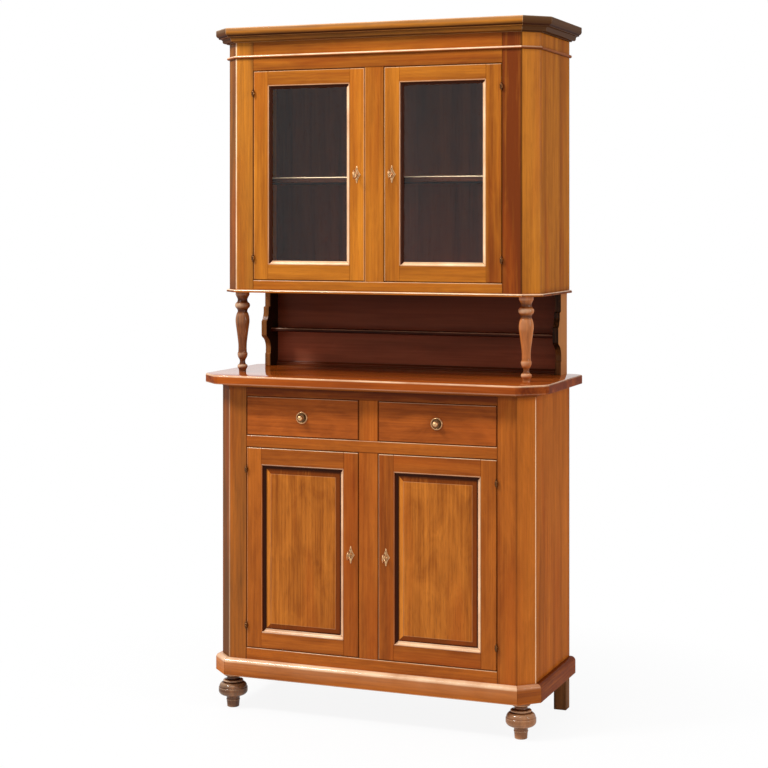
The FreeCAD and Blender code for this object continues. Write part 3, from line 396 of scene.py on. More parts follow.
    def moulding(self, path, shape, level, closed=False, tones=0.0, rubs=1.0, joint=-1.0):
        """Profile of (distance out, height) carried along a plan path, mitred at its corners.

        At a corner every point of the profile stands out along (n1 + n2) / (1 + n1.n2) of the two
        sides' normals.  Out is to the right of travel.  Each length may have its own tone, and its
        own strength of the pale edge tint, also point by point; where these follow the way a length
        faces they paint light and shade.  joint is the edge value of the line at a mitre.
        """
        profile, curved, edge = shape
        points = np.array(path, float)
        following = np.roll(points, -1, 0)
        stretches = len(points) if closed else len(points) - 1
        tones = np.broadcast_to(tones, stretches)
        rubs = np.asarray(rubs)[..., None] if np.ndim(rubs) < 2 else rubs
        rubs = np.broadcast_to(rubs, (stretches, len(profile)))
        legs = (following - points)[:stretches]
        ways = legs / np.linalg.norm(legs, axis=1)[:, None]
        out = np.stack([ways[:, 1], -ways[:, 0]], 1)
        for i in range(stretches):
            square = [not closed and i == 0, not closed and i == stretches - 1]
            beside = [out[i - 1], out[(i + 1) % stretches]]
            mitres = [out[i] if flat else (out[i] + n) / (1 + out[i] @ n)
                      for flat, n in zip(square, beside)]
            rows, marks = [], []
            for end, mitre, inward, flat in ((points[i], mitres[0], 1, square[0]),
                                             (following[i], mitres[1], -1, square[1])):
                line = end + profile[:, :1] * mitre
                near = line + inward * ways[i] * JOINT_LINE
                rows += [line, near][::inward]
                marks += [0.0 if flat else joint, 0.0][::inward]
            rings = np.empty((4, len(profile), 3))
            rings[..., :2] = rows
            rings[..., 2] = profile[:, 1] + level
            edge_values = np.where(edge > 0, edge * rubs[i], edge)
            marks = np.array(marks)[:, None]
            values = np.where(marks != 0, marks, edge_values[None])
            self.loft(rings, values, curved[None], (*ways[i], 0), tones[i])

    def turned(self, profile, centre, axis=2, segments=72, tone=0.0, edge=None):
        """Profile of (radius, height) carried round an axis through a centre."""
        angle = np.linspace(0, 2 * np.pi, segments, endpoint=False)
        rings = np.empty((len(profile), segments, 3))
        others = [k for k in range(3) if k != axis]
        rings[..., others[0]] = profile[:, :1] * np.cos(angle)
        rings[..., others[1]] = profile[:, :1] * np.sin(angle)
        rings[..., axis] = profile[:, 1:]
        values = np.zeros(len(profile)) if edge is None else edge
        values = np.repeat(values[:, None], segments, 1)
        self.loft(rings + centre, values, np.array(True), np.eye(3)[axis], tone)

    def mesh(self):
        mesh = bpy.data.meshes.new(self.name)
        mesh.from_pydata((np.concatenate(self.points) * MM).tolist(), [], self.faces)
        mesh.polygons.foreach_set("use_smooth", np.concatenate(self.smooth))
        for name, kind, domain, field, values in (
                ("grain", "FLOAT_VECTOR", "POINT", "vector", self.grain),
                ("tone", "FLOAT", "CORNER", "value", self.tones),
                ("edge", "FLOAT", "CORNER", "value", self.edge)):
            attribute = mesh.attributes.new(name, kind, domain)
            attribute.data.foreach_set(field, np.concatenate(values).astype("f4").reshape(-1))
        mesh.set_sharp_from_angle(angle=SMOOTH_LIMIT)
        mesh.update()
        return mesh


def show(surface, material, slot, *nodes):
    """Put a finished piece in the scene; it stands for CAD nodes that all ride on one body."""
    piece = bpy.data.objects.new(surface.name, surface.mesh())
    bpy.context.scene.collection.objects.link(piece)
    piece.data.materials.append(bpy.data.materials[material])
    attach(piece, BODIES[nodes[0]])
    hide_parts(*nodes)


def sides():
    return (("left", False), ("right", True))


# ---- Node trees ----------------------------------------------------------------------------------
FLOAT, COLOUR, VECTOR = "NodeSocketFloat", "NodeSocketColor", "NodeSocketVector"


class Graph:
    """Short way to add nodes; an input is given a value or the socket that feeds it."""

    def __init__(self, tree):
        self.tree = tree

    def feed(self, node, inputs):
        for name, value in inputs.items():
            if isinstance(value, bpy.types.NodeSocket):
                self.tree.links.new(value, node.inputs[name])
            else:
                node.inputs[name].default_value = value

    def add(self, kind, inputs=None, **settings):
        made = self.tree.nodes.new("ShaderNode" + kind)
        for name, value in settings.items():
            setattr(made, name, value)
        self.feed(made, inputs or {})
        return made

    def placed_group(self, name, inputs):
        return self.add("Group", inputs, node_tree=bpy.data.node_groups[name]).outputs

    def place(self):
        return self.add("TexCoord").outputs["Object"]

    def attribute(self, name, output="Fac"):
        return self.add("Attribute", attribute_name=name).outputs[output]

    def maths(self, operation, a, b=0.0, clamp=False):
        return self.add("Math", {0: a, 1: b}, operation=operation, use_clamp=clamp).outputs[0]

    def plus(self, a, b, clamp=False):
        return self.maths("ADD", a, b, clamp)

    def times(self, a, b):
        return self.maths("MULTIPLY", a, b)

    def noise(self, place, fineness, detail=3.0, roughness=0.5, distortion=0.0):
        """Noise with so many waves to the metre along each axis."""
        scaled = self.add("VectorMath", {0: place, 1: fineness}, operation="MULTIPLY").outputs[0]
        return self.add("TexNoise", {"Vector": scaled, "Scale": 1.0, "Detail": detail,
                                     "Roughness": roughness,
                                     "Distortion": distortion}).outputs["Fac"]

    def spread(self, value, start, end, low=0.0, high=1.0):
        return self.add("MapRange", {0: value, 1: start, 2: end, 3: low, 4: high},
                        clamp=True).outputs[0]

    def blend(self, factor, a, b):
        return self.add("Mix", {0: factor, 6: a, 7: b}, data_type="RGBA").outputs[2]

    def mix(self, factor, first, second):
        return self.add("MixShader", {0: factor, 1: first, 2: second}).outputs[0]

    def seen(self):
        """1 on rays from the camera, off polished faces and through glass, and 0 on others."""
        path = self.add("LightPath").outputs
        return self.plus(self.plus(path["Is Camera Ray"], path["Is Glossy Ray"]),
                         path["Is Transmission Ray"], clamp=True)


def group(name, inputs, outputs):
    """Empty shader group; an input is (name, socket type, default), an output (name, type)."""
    tree = bpy.data.node_groups.new(name, "ShaderNodeTree")
    for label, kind, default in inputs:
        socket = tree.interface.new_socket(label, in_out="INPUT", socket_type=kind)
        if default is not None:
            socket.default_value = default
    for label, kind in outputs:
        tree.interface.new_socket(label, in_out="OUTPUT", socket_type=kind)
    source, sink = (tree.nodes.new(kind) for kind in ("NodeGroupInput", "NodeGroupOutput"))
    return Graph(tree), source.outputs, sink


def grain_group():
    """Wood figure on (along, across, depth) in metres.

    Streaks are noise stretched along the grain; flames are bands of the across coordinate bent by
    slow noise; mottle is rounder noise; pores are short thin dark lines.
    """
    graph, source, sink = group(
        "Wood grain",
        [("Grain", VECTOR, None), ("Tone", FLOAT, 0.0), ("Pale", COLOUR, (1, 1, 1, 1)),
         ("Deep", COLOUR, (0, 0, 0, 1)), ("Flush", COLOUR, (0.5, 0.2, 0.1, 1)),
         ("Streaks", FLOAT, 0.5), ("Flames", FLOAT, 0.3), ("Mottle", FLOAT, 0.2),
         ("Pores", FLOAT, 0.2), ("Fine", FLOAT, 0.55)],
        [("Color", COLOUR), ("Height", FLOAT), ("Mask", FLOAT)])
    place = source["Grain"]
    broad = graph.noise(place, (1.1, 22, 22), 3.0, 0.55, 0.4)
    fine = graph.noise(place, (4.0, 150, 150), 2.0, 0.6)
    slow = graph.noise(place, (2.2, 9, 9), 2.0)
    cloud = graph.noise(place, (6.5, 16, 16), 3.0, 0.6, 0.8)
    across = graph.add("SeparateXYZ", {0: place}).outputs[1]
    bent = graph.plus(graph.times(across, 42.0), graph.times(slow, 13.0))
    flame = graph.maths("POWER", graph.times(graph.maths("PINGPONG", bent, 0.5), 2.0), 1.6)
    total = graph.times(source["Tone"], 0.5)
    for figure, share in ((broad, "Streaks"), (flame, "Flames"), (cloud, "Mottle"),
                          (fine, "Fine")):
        total = graph.plus(total, graph.times(graph.plus(figure, -0.5), source[share]))
    mixed = graph.plus(total, 0.5, clamp=True)
    wood = graph.blend(mixed, source["Deep"], source["Pale"])
    blush = graph.spread(graph.noise(place, (1.7, 12, 12), 2.0), 0.5, 0.75)
    wood = graph.blend(graph.times(blush, 0.45), wood, source["Flush"])
    pore = graph.spread(graph.noise(place, (26, 700, 700), 1.0), 0.60, 0.72)
    pore = graph.times(pore, source["Pores"])
    wood = graph.blend(pore, wood, (0.05, 0.018, 0.008, 1))
    height = graph.maths("SUBTRACT", graph.times(fine, 0.4), pore)
    graph.feed(sink, {"Color": wood, "Height": height, "Mask": mixed})


def edge_group():
    """Edge tints: the edge value, broken up by noise along it, draws the colour towards a pale tint
    above 0, for worn arrises and painted highlights, and towards a dark tint below it, for wax in
    quirks and painted shade."""
    graph, source, sink = group(
        "Rubbed edges",
        [("Edge", FLOAT, 0.0), ("Place", VECTOR, None), ("Color", COLOUR, (1, 1, 1, 1)),
         ("Rubbed", COLOUR, (1, 0.8, 0.5, 1)), ("Wax", COLOUR, (0.05, 0.02, 0.01, 1)),
         ("Rub", FLOAT, 0.5), ("Soil", FLOAT, 0.6)],
        [("Color", COLOUR), ("Mask", FLOAT)])
    patch = graph.noise(source["Place"], (9, 9, 9), 3.0, 0.6)
    edge_values = graph.times(graph.maths("MAXIMUM", source["Edge"], 0.0),
                       graph.spread(patch, 0.25, 0.65, 0.45, 1.0))
    below = graph.maths("MAXIMUM", graph.times(source["Edge"], -1.0), 0.0)
    colour = graph.blend(graph.times(edge_values, source["Rub"]), source["Color"], source["Rubbed"])
    colour = graph.blend(graph.times(below, source["Soil"]), colour, source["Wax"])
    graph.feed(sink, {"Color": colour, "Mask": edge_values})


def handling_group():
    """Uneven polish: clouds of noise at hand size give a roughness between two limits."""
    graph, source, sink = group(
        "Uneven polish",
        [("Place", VECTOR, None), ("Smooth", FLOAT, 0.2), ("Dull", FLOAT, 0.4),
         ("Scale", FLOAT, 7.0)],
        [("Roughness", FLOAT), ("Mask", FLOAT)])
    cloud = graph.spread(graph.noise(source["Place"], source["Scale"], 4.0, 0.62), 0.35, 0.68)
    span = graph.maths("SUBTRACT", source["Dull"], source["Smooth"])
    rough = graph.plus(source["Smooth"], graph.times(span, cloud))
    graph.feed(sink, {"Roughness": rough, "Mask": cloud})


def started(name):
    """Graph and shader of a new material; the shader feeds the output until another one does."""
    material = bpy.data.materials.new(name)
    material.use_nodes = True
    material.node_tree.nodes.clear()
    graph = Graph(material.node_tree)
    shader = graph.add("BsdfPrincipled")
    graph.end = graph.add("OutputMaterial", {0: shader.outputs[0]})
    return graph, shader


def wood_material(name, pale, deep, flush, streaks=1.1, flames=0.05, mottle=0.25, fine=0.55,
                  pores=0.2, smooth=0.16, dull=0.3, coat=0.13, gloss=0.5, bump=0.05, top_coat=0.0,
                  turned=None):
    """Varnished wood, with more varnish on faces that look up where top_coat is set.

    For pieces with no grain frame, turned turns Object coordinates along the grain.
    """
    graph, shader = started(name)
    own = graph.place()
    if turned is None:
        grain = graph.attribute("grain", "Vector")
        tone, edge = graph.attribute("tone"), graph.attribute("edge")
    else:
        grain = graph.add("Mapping", {"Vector": own, "Rotation": turned}).outputs[0]
        tone, edge = 0.0, 0.0
    figure = graph.placed_group("Wood grain", {
        "Grain": grain, "Tone": tone, "Pale": pale, "Deep": deep, "Flush": flush,
        "Streaks": streaks, "Flames": flames, "Mottle": mottle, "Pores": pores, "Fine": fine})
    # Pale edge tint for wear and painted highlights, dark edge tint for wax in quirks and painted
    # shade.
    rubbed = graph.placed_group("Rubbed edges", {
        "Edge": edge, "Place": own, "Color": figure["Color"], "Rub": 0.9, "Soil": 0.85,
        "Rubbed": tint(255, 214, 172), "Wax": tint(58, 24, 8)})
    polish = graph.placed_group("Uneven polish", {"Place": own, "Smooth": smooth, "Dull": dull})
    bumped = graph.add("Bump", {"Strength": bump, "Distance": 0.001, "Height": figure["Height"]})
    varnish = graph.times(rubbed["Mask"], gloss)
    if top_coat:
        normal = graph.add("TexCoord").outputs["Normal"]
        facing_up = graph.spread(graph.add("SeparateXYZ", {0: normal}).outputs[2], 0.8, 1.0)
        varnish = graph.plus(varnish, graph.times(facing_up, top_coat))
    graph.feed(shader, {
        "Base Color": rubbed["Color"], "Roughness": polish["Roughness"],
        "Normal": bumped.outputs[0], "Coat Weight": graph.plus(varnish, coat, clamp=True)})
    shader.inputs["Specular IOR Level"].default_value = 0.0
    shader.inputs["Coat Roughness"].default_value = smooth


def tint(red, green, blue):
    """Display colour of 0 to 255 as a linear colour: ((c + 0.055) / 1.055) ^ 2.4."""
    share = np.array([red, green, blue]) / 255
    linear = np.where(share <= 0.04045, share / 12.92, ((share + 0.055) / 1.055) ** 2.4)
    return (*linear.tolist(), 1.0)


def metal_material(name, bright, aged, smooth=0.24):
    """Handled metal, spotted with age, paler on worn edges and dark in the hollows; on the knobs
    the edge values also paint highlight and shade.
    """
    graph, shader = started(name)
    own = graph.place()
    polish = graph.placed_group("Uneven polish", {"Place": own, "Smooth": smooth, "Dull": 0.42,
                                                  "Scale": 60.0})
    spots = graph.spread(graph.noise(own, (140, 140, 140), 3.0, 0.6), 0.45, 0.75)
    colour = graph.blend(graph.times(spots, 0.6), bright, aged)
    rubbed = graph.placed_group("Rubbed edges", {
        "Edge": graph.attribute("edge"), "Place": own, "Color": colour, "Rub": 0.6, "Soil": 0.9,
        "Rubbed": tint(250, 216, 160), "Wax": tint(34, 20, 10)})
    graph.feed(shader, {"Base Color": rubbed["Color"], "Roughness": polish["Roughness"]})
    shader.inputs["Metallic"].default_value = 1.0


def glass_material(name):
    """Clear pane; rays from lamps pass straight through it."""
    graph, shader = started(name)
    shader.inputs["Base Color"].default_value = (0.92, 0.97, 0.98, 1)
    shader.inputs["Transmission Weight"].default_value = 1.0
    shader.inputs["Roughness"].default_value = 0.0
    shader.inputs["IOR"].default_value = 1.28
    clear = graph.add("BsdfTransparent", {"Color": (0.9, 0.94, 0.92, 1)})
    shadow = graph.add("LightPath").outputs["Is Shadow Ray"]
    graph.feed(graph.end, {0: graph.mix(shadow, shader.outputs[0], clear.outputs[0])})


# ---- What a user may change ----------------------------------------------------------------------
def colour_property(name, description, *shades):
    return FloatVectorProperty(name=name, description=description, subtype="COLOR", size=4,
                               min=0.0, max=1.0, default=tint(*shades))


class DresserFinish(bpy.types.PropertyGroup):
    """Colours of the woods and the metal."""
    cherry_pale: colour_property("Pale cherry", "Lightest streaks of the cherry", 214, 132, 40)
    base_pale: colour_property("Pale base cherry", "Lightest streaks of the base", 208, 117, 40)
    cherry_deep: colour_property("Deep cherry", "Darkest streaks of the cherry", 112, 50, 16)
    cherry_flush: colour_property("Red cherry", "Red patches in the cherry", 164, 72, 18)
    # Deep colour of the darker cherry that paints shade on the left corner posts.
    shade_deep: colour_property("Shaded cherry", "Darkest streaks of the left posts", 104, 62, 30)
    cornice_deep: colour_property("Deep cornice", "Darkest streaks of the cornice", 84, 52, 26)
    drawer_pale: colour_property("Pale drawer", "Lightest streaks of the drawers", 212, 112, 42)
    panel_pale: colour_property("Pale panel", "Lightest flecks of the door panels", 214, 128, 46)
    panel_deep: colour_property("Deep panel", "Darkest flecks of the door panels", 120, 56, 14)
    top_pale: colour_property("Pale worktop", "Lightest streaks of the worktop", 196, 98, 30)
    top_deep: colour_property("Deep worktop", "Darkest streaks of the worktop", 108, 42, 12)
    walnut_pale: colour_property("Pale walnut", "Lightest streaks of the feet", 182, 120, 74)
    walnut_deep: colour_property("Deep walnut", "Darkest streaks of the feet", 62, 36, 20)
    column_pale: colour_property("Pale column", "Lightest streaks of the columns", 208, 124, 62)
    column_deep: colour_property("Deep column", "Darkest streaks of the columns", 78, 38, 18)
    lining_pale: colour_property("Pale lining", "Lightest streaks inside the hutch", 128, 62, 34)
    lining_deep: colour_property("Deep lining", "Darkest streaks inside the hutch", 52, 23, 13)
    recess_pale: colour_property("Pale recess", "Lightest streaks behind the recess", 182, 104, 74)
    recess_deep: colour_property("Deep recess", "Darkest streaks behind the recess", 72, 42, 30)
    brass: colour_property("Brass", "Handled brass", 216, 172, 124)
    brass_aged: colour_property("Aged brass", "Brass in the hollows", 116, 80, 46)
    bronze_aged: colour_property("Aged bronze", "Bronze in the hollows", 52, 32, 18)
    bronze: colour_property("Bronze", "Metal of the hinges", 104, 68, 40)


class DresserSizes(bpy.types.PropertyGroup):
    """Easing of edges and fineness of the turnings."""
    arris: FloatProperty(name="Arris", description="Radius of the eased edges of boards, in mm",
                         default=1.4, min=0.3, max=3.0)
    door_arris: FloatProperty(name="Door arris", description="Radius of door edges, in mm",
                              default=1.2, min=0.3, max=3.0)
    segments: IntProperty(name="Segments", description="Flats round a turned piece", default=72,
                          min=24, max=160)


class DresserStudio(bpy.types.PropertyGroup):
    """Camera and light."""
    yaw: FloatProperty(name="Camera turn", description="Turn of the camera about the vertical",
                       default=np.radians(21.672), subtype="ANGLE", unit="ROTATION")
    lens: FloatProperty(name="Lens", description="Focal length on a 36 mm frame, in mm",
                        default=83.67, min=20.0, max=200.0)
    rise: FloatProperty(name="Frame shift", description="Upward shift of the picture frame",
                        default=-0.215, min=-0.5, max=0.5)
    key_power: FloatProperty(name="Key light", description="Power of the left lamp",
                             default=300.0, min=0.0, unit="POWER")
    fill_power: FloatProperty(name="Fill light", description="Power of the right lamp",
                              default=45.0, min=0.0, unit="POWER")
    front_power: FloatProperty(name="Overhead light",
                               description="Power of the lamp over the front",
                               default=25.0, min=0.0, unit="POWER")


# ---- Shapes of the object ------------------------------------------------------------------------
def shaded(shape, heights, values):
    """Outline whose edge values are raised or lowered at given heights, to paint highlights and
    shade by height.
    """
    points, curved, edge = shape
    return points, curved, np.clip(edge + np.interp(points[:, 1], heights, values), -1, 1)


def chamfered(half, front, leg, back):
    """Plan path round three sides with 45 degree front corners, from back left to back right."""
    return [(-half, back), (-half, front + leg), (-half + leg, front),
            (half - leg, front), (half, front + leg), (half, back)]


def plan(front_y, offset=0.0, back_y=BACK_Y):
    """Plan path of a carcass, moved outwards by an offset."""
    return chamfered(HALF + offset, front_y - offset, CORNER_CHAMFER + offset * DIAGONAL, back_y)


def post_shape(front_y, arris, edge_values):
    """Section of a left corner post: stile, 45 degree corner and return in one.

    The two given edge values are those of the arris between stile and corner, and of the one
    between corner and side: above 0 a pale line of wear and painted highlight, below 0 painted
    shade.  The stile's edge beside the door opening gets painted shade.
    """
    stile_x = -HALF + CORNER_CHAMFER
    shape = outline((-OPENING_X, front_y), (stile_x, front_y), (-HALF, front_y + CORNER_CHAMFER),
                    (-HALF, front_y + BEHIND_POST), (-HALF + BOARD, front_y + BEHIND_POST),
                    (stile_x + POST_RETURN, front_y + BOARD), (-OPENING_X, front_y + BOARD))
    return eased(shape, (arris, 4 * arris, 2 * arris, 0.3, 0.3, 0.3, 0.3),
                 edge_values=(-0.7, *edge_values, JOINT_SOIL, 0, 0, 0))


def facing(shape, tones):
    """Tone of each side of a plan outline, by the way it looks: left, left corner, front, right
    corner or right; between these the tone changes evenly with the angle.  The tones given paint
    faces lighter or darker as the light falls on them."""
    legs = np.roll(shape[0], -1, 0) - shape[0]
    return np.interp(np.arctan2(legs[:, 1], legs[:, 0]), np.pi / 4 * np.arange(-2, 3), tones)


def bead_shape(height, projection):
    nose = projection * 0.35
    return outline((0, 0), (nose, 0), ((projection, height / 2), (nose, height)), (0, height))


def cornice_shape(projection, height):
    return outline(
        (0, 0), (0.20, 0), (0.20, 0.065), (0.33, 0.065), ((0.47, 0.09), (0.52, 0.19)),
        ((0.57, 0.31), (0.68, 0.35)), (0.80, 0.37), (0.80, 0.45), (0.86, 0.47),
        ((0.965, 0.56), (1.0, 0.72)), (1.0, 0.955), (0.965, 1.0), (0, 1.0),
        scale=(projection, height))


def foot_profile():
    points, _ = outline(
        (0.36, 0), ((0.405, 0.008), (0.415, 0.03)), (0.45, 0.19), ((0.475, 0.205), (0.46, 0.225)),
        ((0.49, 0.30), (0.62, 0.335)), (0.74, 0.345), ((0.95, 0.405), (1.0, 0.52)),
        ((1.005, 0.555), (0.965, 0.58)), ((0.90, 0.66), (0.74, 0.715)), (0.66, 0.73),
        ((0.70, 0.76), (0.62, 0.785)), (0.52, 0.795), ((0.425, 0.85), (0.46, 0.895)),
        (0.50, 0.90), ((0.60, 0.91), (0.63, 0.95)), (0.63, 1.0),
        scale=(FOOT_RADIUS, FOOT_TOP), cuts=12)
    return np.clip(points, 0, (FOOT_RADIUS, FOOT_TOP))


def column_profile():
    points, _ = outline(
        (0.52, 0), ((0.53, 0.027), (0.63, 0.048)), ((0.725, 0.070), (0.62, 0.093)), (0.50, 0.097),
        ((0.39, 0.130), (0.457, 0.160)), ((0.65, 0.190), (0.713, 0.217)),
        ((0.705, 0.232), (0.652, 0.244)), (0.617, 0.251), ((0.595, 0.324), (0.661, 0.400)),
        ((0.79, 0.488), (0.965, 0.600)), ((0.99, 0.665), (0.826, 0.731)), (0.696, 0.750),
        (0.696, 0.770), (0.826, 0.792), ((1.07, 0.830), (0.826, 0.869)),
        ((0.70, 0.895), (0.761, 0.922)), (0.95, 0.956), (0.99, 0.962), (0.99, 1.0),
        scale=(COLUMN_RADIUS, HUTCH_Z - RECESS_Z), cuts=12)
    return points


def bracket_shape():
    return outline(
        (0, 0), (0.71, 0), (0.71, 0.155), (0.665, 0.17), (0.665, 0.21),
        ((0.72, 0.31), (0.93, 0.375)), (1.0, 0.40), (1.0, 0.585), (0.955, 0.592),
        ((0.875, 0.645), (0.83, 0.70)), (0.83, 0.765), (0.71, 0.775), (0.71, 1.0), (0, 1.0),
        scale=(-BRACKET_DEPTH, HUTCH_Z - RECESS_Z), cuts=12)


def relief(profile, reach=4.0, gain=0.85):
    """Edge values of a turning: gain (r - mean of r within reach of the same height), so that its
    grooves get wax and painted shade and its beads wear and painted highlights."""
    radius, height = profile.T
    even = np.arange(height.min(), height.max(), 0.5)
    pad = int(reach / 0.5)
    level = np.pad(np.interp(even, height, radius), pad, "edge")
    mean = np.convolve(level, np.full(2 * pad + 1, 1 / (2 * pad + 1)), "valid")
    return np.clip(gain * (radius - np.interp(height, even, mean)), -1.0, 1.0)


# ---- Operators -----------------------------------------------------------------------------------
class DRESSER_OT_finishes(bpy.types.Operator):
    """Mix the wood, brass and glass finishes"""
    bl_idname = "dresser.finishes"
    bl_label = "Finishes"

    def execute(self, context):
        own = context.scene.dresser_finish
        grain_group()
        edge_group()
        handling_group()
        cherry = (own.cherry_pale, own.cherry_deep, own.cherry_flush)
        ruddy = (own.base_pale, own.cherry_deep, own.cherry_flush)
        wood_material("Cherry", *cherry)
        wood_material("Base cherry", *ruddy, streaks=0.85, mottle=0.5)
        # Darker copies of the cherry for the left corner posts, as painted shade.
        wood_material("Shaded cherry", own.cherry_pale, own.shade_deep, own.cherry_flush)
        wood_material("Shaded base cherry", own.base_pale, own.shade_deep, own.cherry_flush)
        wood_material("Drawer cherry", own.drawer_pale, own.cherry_deep, own.cherry_flush,
                      streaks=0.7, mottle=0.8)
        wood_material("Cornice cherry", own.cherry_pale, own.cornice_deep, own.cherry_flush,
                      coat=0.12, smooth=0.1)
        wood_material("Side cherry", *cherry, coat=0.06)
        wood_material("Base side cherry", *ruddy, coat=0.06)
        wood_material("Moulding cherry", *ruddy, coat=0.12, gloss=0.8, smooth=0.1)
        wood_material("Worktop cherry", own.top_pale, own.top_deep, own.cherry_flush,
                      smooth=0.04, dull=0.12, coat=0.12, gloss=0.3, top_coat=0.7)
        wood_material("Panel cherry", own.panel_pale, own.panel_deep, own.cherry_flush,
                      streaks=0.6, flames=0.0, mottle=0.9, fine=0.85, pores=0.4)
        wood_material("Turned walnut", own.walnut_pale, own.walnut_deep, own.walnut_deep,
                      smooth=0.05, dull=0.12, coat=0.6)
        # Darker wood for the brackets and rear legs, partly their stain and partly painted shade.
        wood_material("Dark walnut", tint(176, 112, 58), tint(42, 24, 13), tint(42, 24, 13),
                      coat=0.1)
        wood_material("Turned cherry", own.column_pale, own.column_deep, own.column_deep,
                      smooth=0.06, dull=0.14, coat=0.35)
        wood_material("Recess lining", own.recess_pale, own.recess_deep, own.recess_deep,
                      pores=0.0, bump=0.0, smooth=0.3, dull=0.5, coat=0.12)
        wood_material("Dark lining", own.lining_pale, own.lining_deep, own.lining_deep,
                      pores=0.0, bump=0.0, smooth=0.25, dull=0.45, coat=0.12)
        wood_material("Plain inside", tint(176, 116, 66), tint(120, 72, 36), tint(140, 80, 44),
                      smooth=0.4, dull=0.6, coat=0.0, turned=(0, 0, 0))
        wood_material("Plain inside back", tint(150, 96, 54), tint(104, 62, 32),
                      tint(120, 68, 38), smooth=0.4, dull=0.6, coat=0.0,
                      turned=(0, np.pi / 2, 0))
        metal_material("Brass", own.brass, own.brass_aged)
        metal_material("Bronze", own.bronze, own.bronze_aged, 0.14)
        metal_material("Steel bolt", tint(170, 165, 158), tint(110, 104, 98))
        glass_material("Pane")
        return {"FINISHED"}


class DRESSER_OT_base_carcass(bpy.types.Operator):
    """Sides, corner posts, face frame, feet and plinth of the base"""
    bl_idname = "dresser.base_carcass"
    bl_label = "Base carcass"

    def execute(self, context):
        sizes = context.scene.dresser_sizes
        for side, mirror in sides():
            node = f"base_side_{side}"
            board = Surface(f"{node}_board", mirror=mirror, tone=0.2)
            # The dark butt ends fade out over 16 mm, painting shade under the worktop; the outer
            # back edge is darker.
            board.board((-HALF, BASE_Y + BEHIND_POST, FOOT_TOP), (-HALF + BOARD, BACK_Y, WORKTOP_Z),
                        2, TENON_SHOULDER, fade=16.0, edge_values=BACK_EDGE)
            show(board, "Base side cherry", "cherry", node)
            node = f"base_corner_post_{side}"
            piece = Surface(f"{node}_shaped", mirror=mirror, rub=0.8)
            # Painted light on the base posts: the right post a pale side arris, a dark front arris
            # and a lighter corner, the left post a darker corner, and both a dark top end fading
            # over 24 mm, as painted shade under the worktop.
            post = post_shape(BASE_Y, sizes.arris, (-0.4, 6.0) if mirror else (0.4, 0.0))
            corner = 0.3 if mirror else -0.9
            tones = facing(post, (0.2, corner, -0.3, 0, 0))
            piece.prism(post, 2, FOOT_TOP, WORKTOP_Z, Z, TENON_SHOULDER, tones, 24.0,
                        (JOINT_SOIL, -1.0))
            show(piece, "Base cherry" if mirror else "Shaded base cherry", "cherry", node)

        rails = Surface("base_face_frame_members", tone=-0.25, rub=0.8)
        sill, head = SILL["lower"], HEAD["lower"]
        y0, y1 = BASE_Y, BASE_Y + BOARD
        # Rails get a painted highlight on their top arrises and painted shade under them, uprights
        # painted shade beside the doors and drawers.
        for z0, z1, tone in ((FOOT_TOP, sill, 0.0), (head, DRAWER_LOW, 0.1)):
            rails.board((-OPENING_X, y0, z0), (OPENING_X, y1, z1), 0, sizes.door_arris, tone,
                        ends=TENON_SHOULDER, edge_values=LYING_LIGHT_AND_SHADE)
        for z0, z1 in ((sill, head), (DRAWER_LOW, DRAWER_HIGH)):
            rails.board((-CENTRE_X, y0, z0), (CENTRE_X, y1, z1), 2, sizes.door_arris, tone=0.15,
                        ends=TENON_SHOULDER, edge_values=STANDING_SHADE)
        # Painted shadow of the worktop on the top rail: dark at its top, fading out lower down,
        # over a darker tone.
        top = WORKTOP_Z - np.array(SHADOW_BAND)
        shape = outline((y0, DRAWER_HIGH), (y1, DRAWER_HIGH), (y1, top[0]), (y0, top[0]),
                        (y0, top[1]), (y0, top[2]))
        shape = shaded(eased(shape, 0.8, edge_values=JOINT_SOIL), top[::-1], (0.0, -0.9, -0.9))
        rails.prism(shape, 0, -OPENING_X, OPENING_X, X, TENON_SHOULDER, -0.5)
        show(rails, "Base cherry", "cherry", "base_face_frame")

        feet = Surface("front_feet_turned", rub=0.5)
        profile = foot_profile()
        # The relief edge values paint shade in the grooves and highlights on the beads, with wax
        # and wear.
        for x in (-FOOT_X, FOOT_X):
            feet.turned(profile, (x, FOOT_Y, 0), segments=sizes.segments, tone=0.5 * (x > 0) - 0.2,
                        edge=relief(profile))
        show(feet, "Turned walnut", "turned_walnut", "front_feet")

        # The rear legs take the darker wood, partly stain and partly painted shade.
        legs = Surface("rear_feet_legs", rub=0.0)
        inner, front = HALF - REAR_LEG, BACK_Y - REAR_LEG
        for sign in (-1, 1):
            legs.board((sign * HALF, front, 0), (sign * inner, BACK_Y, FOOT_TOP), 2, sizes.arris)
            legs.board((sign * (HALF - BOARD), front, FOOT_TOP),
                       (sign * inner, PANEL_Y, high("rear_feet")[2]), 2, TENON_SHOULDER)
        show(legs, "Dark walnut", "cherry", "rear_feet")

        edge, top = PLINTH_PROJECTION, PLINTH_HEIGHT
        shape = eased(outline((0, 0), (edge - 2, 0), (edge, 2), (edge, top - 14),
                              ((edge * 0.78, top - 3.9), (edge * 0.25, top)), (0, top)), 0.5)
        plinth = Surface("plinth_moulding_lengths", rub=1.2)
        # Painted highlight on the top rounding, strongest on the front and none on the right side,
        # which is darker as painted shade.
        shape = shaded(shape, (0, top - 15, top - 9, top), (0, 0, 1, 1))
        plinth.moulding(plan(BASE_Y), shape, FOOT_TOP, tones=(-0.3, 0.1, -0.4, -0.3, -1.0),
                        rubs=(0.5, 0.7, 0.8, 0.25, 0.0))
        show(plinth, "Moulding cherry", "cherry", "plinth_moulding")
        return {"FINISHED"}


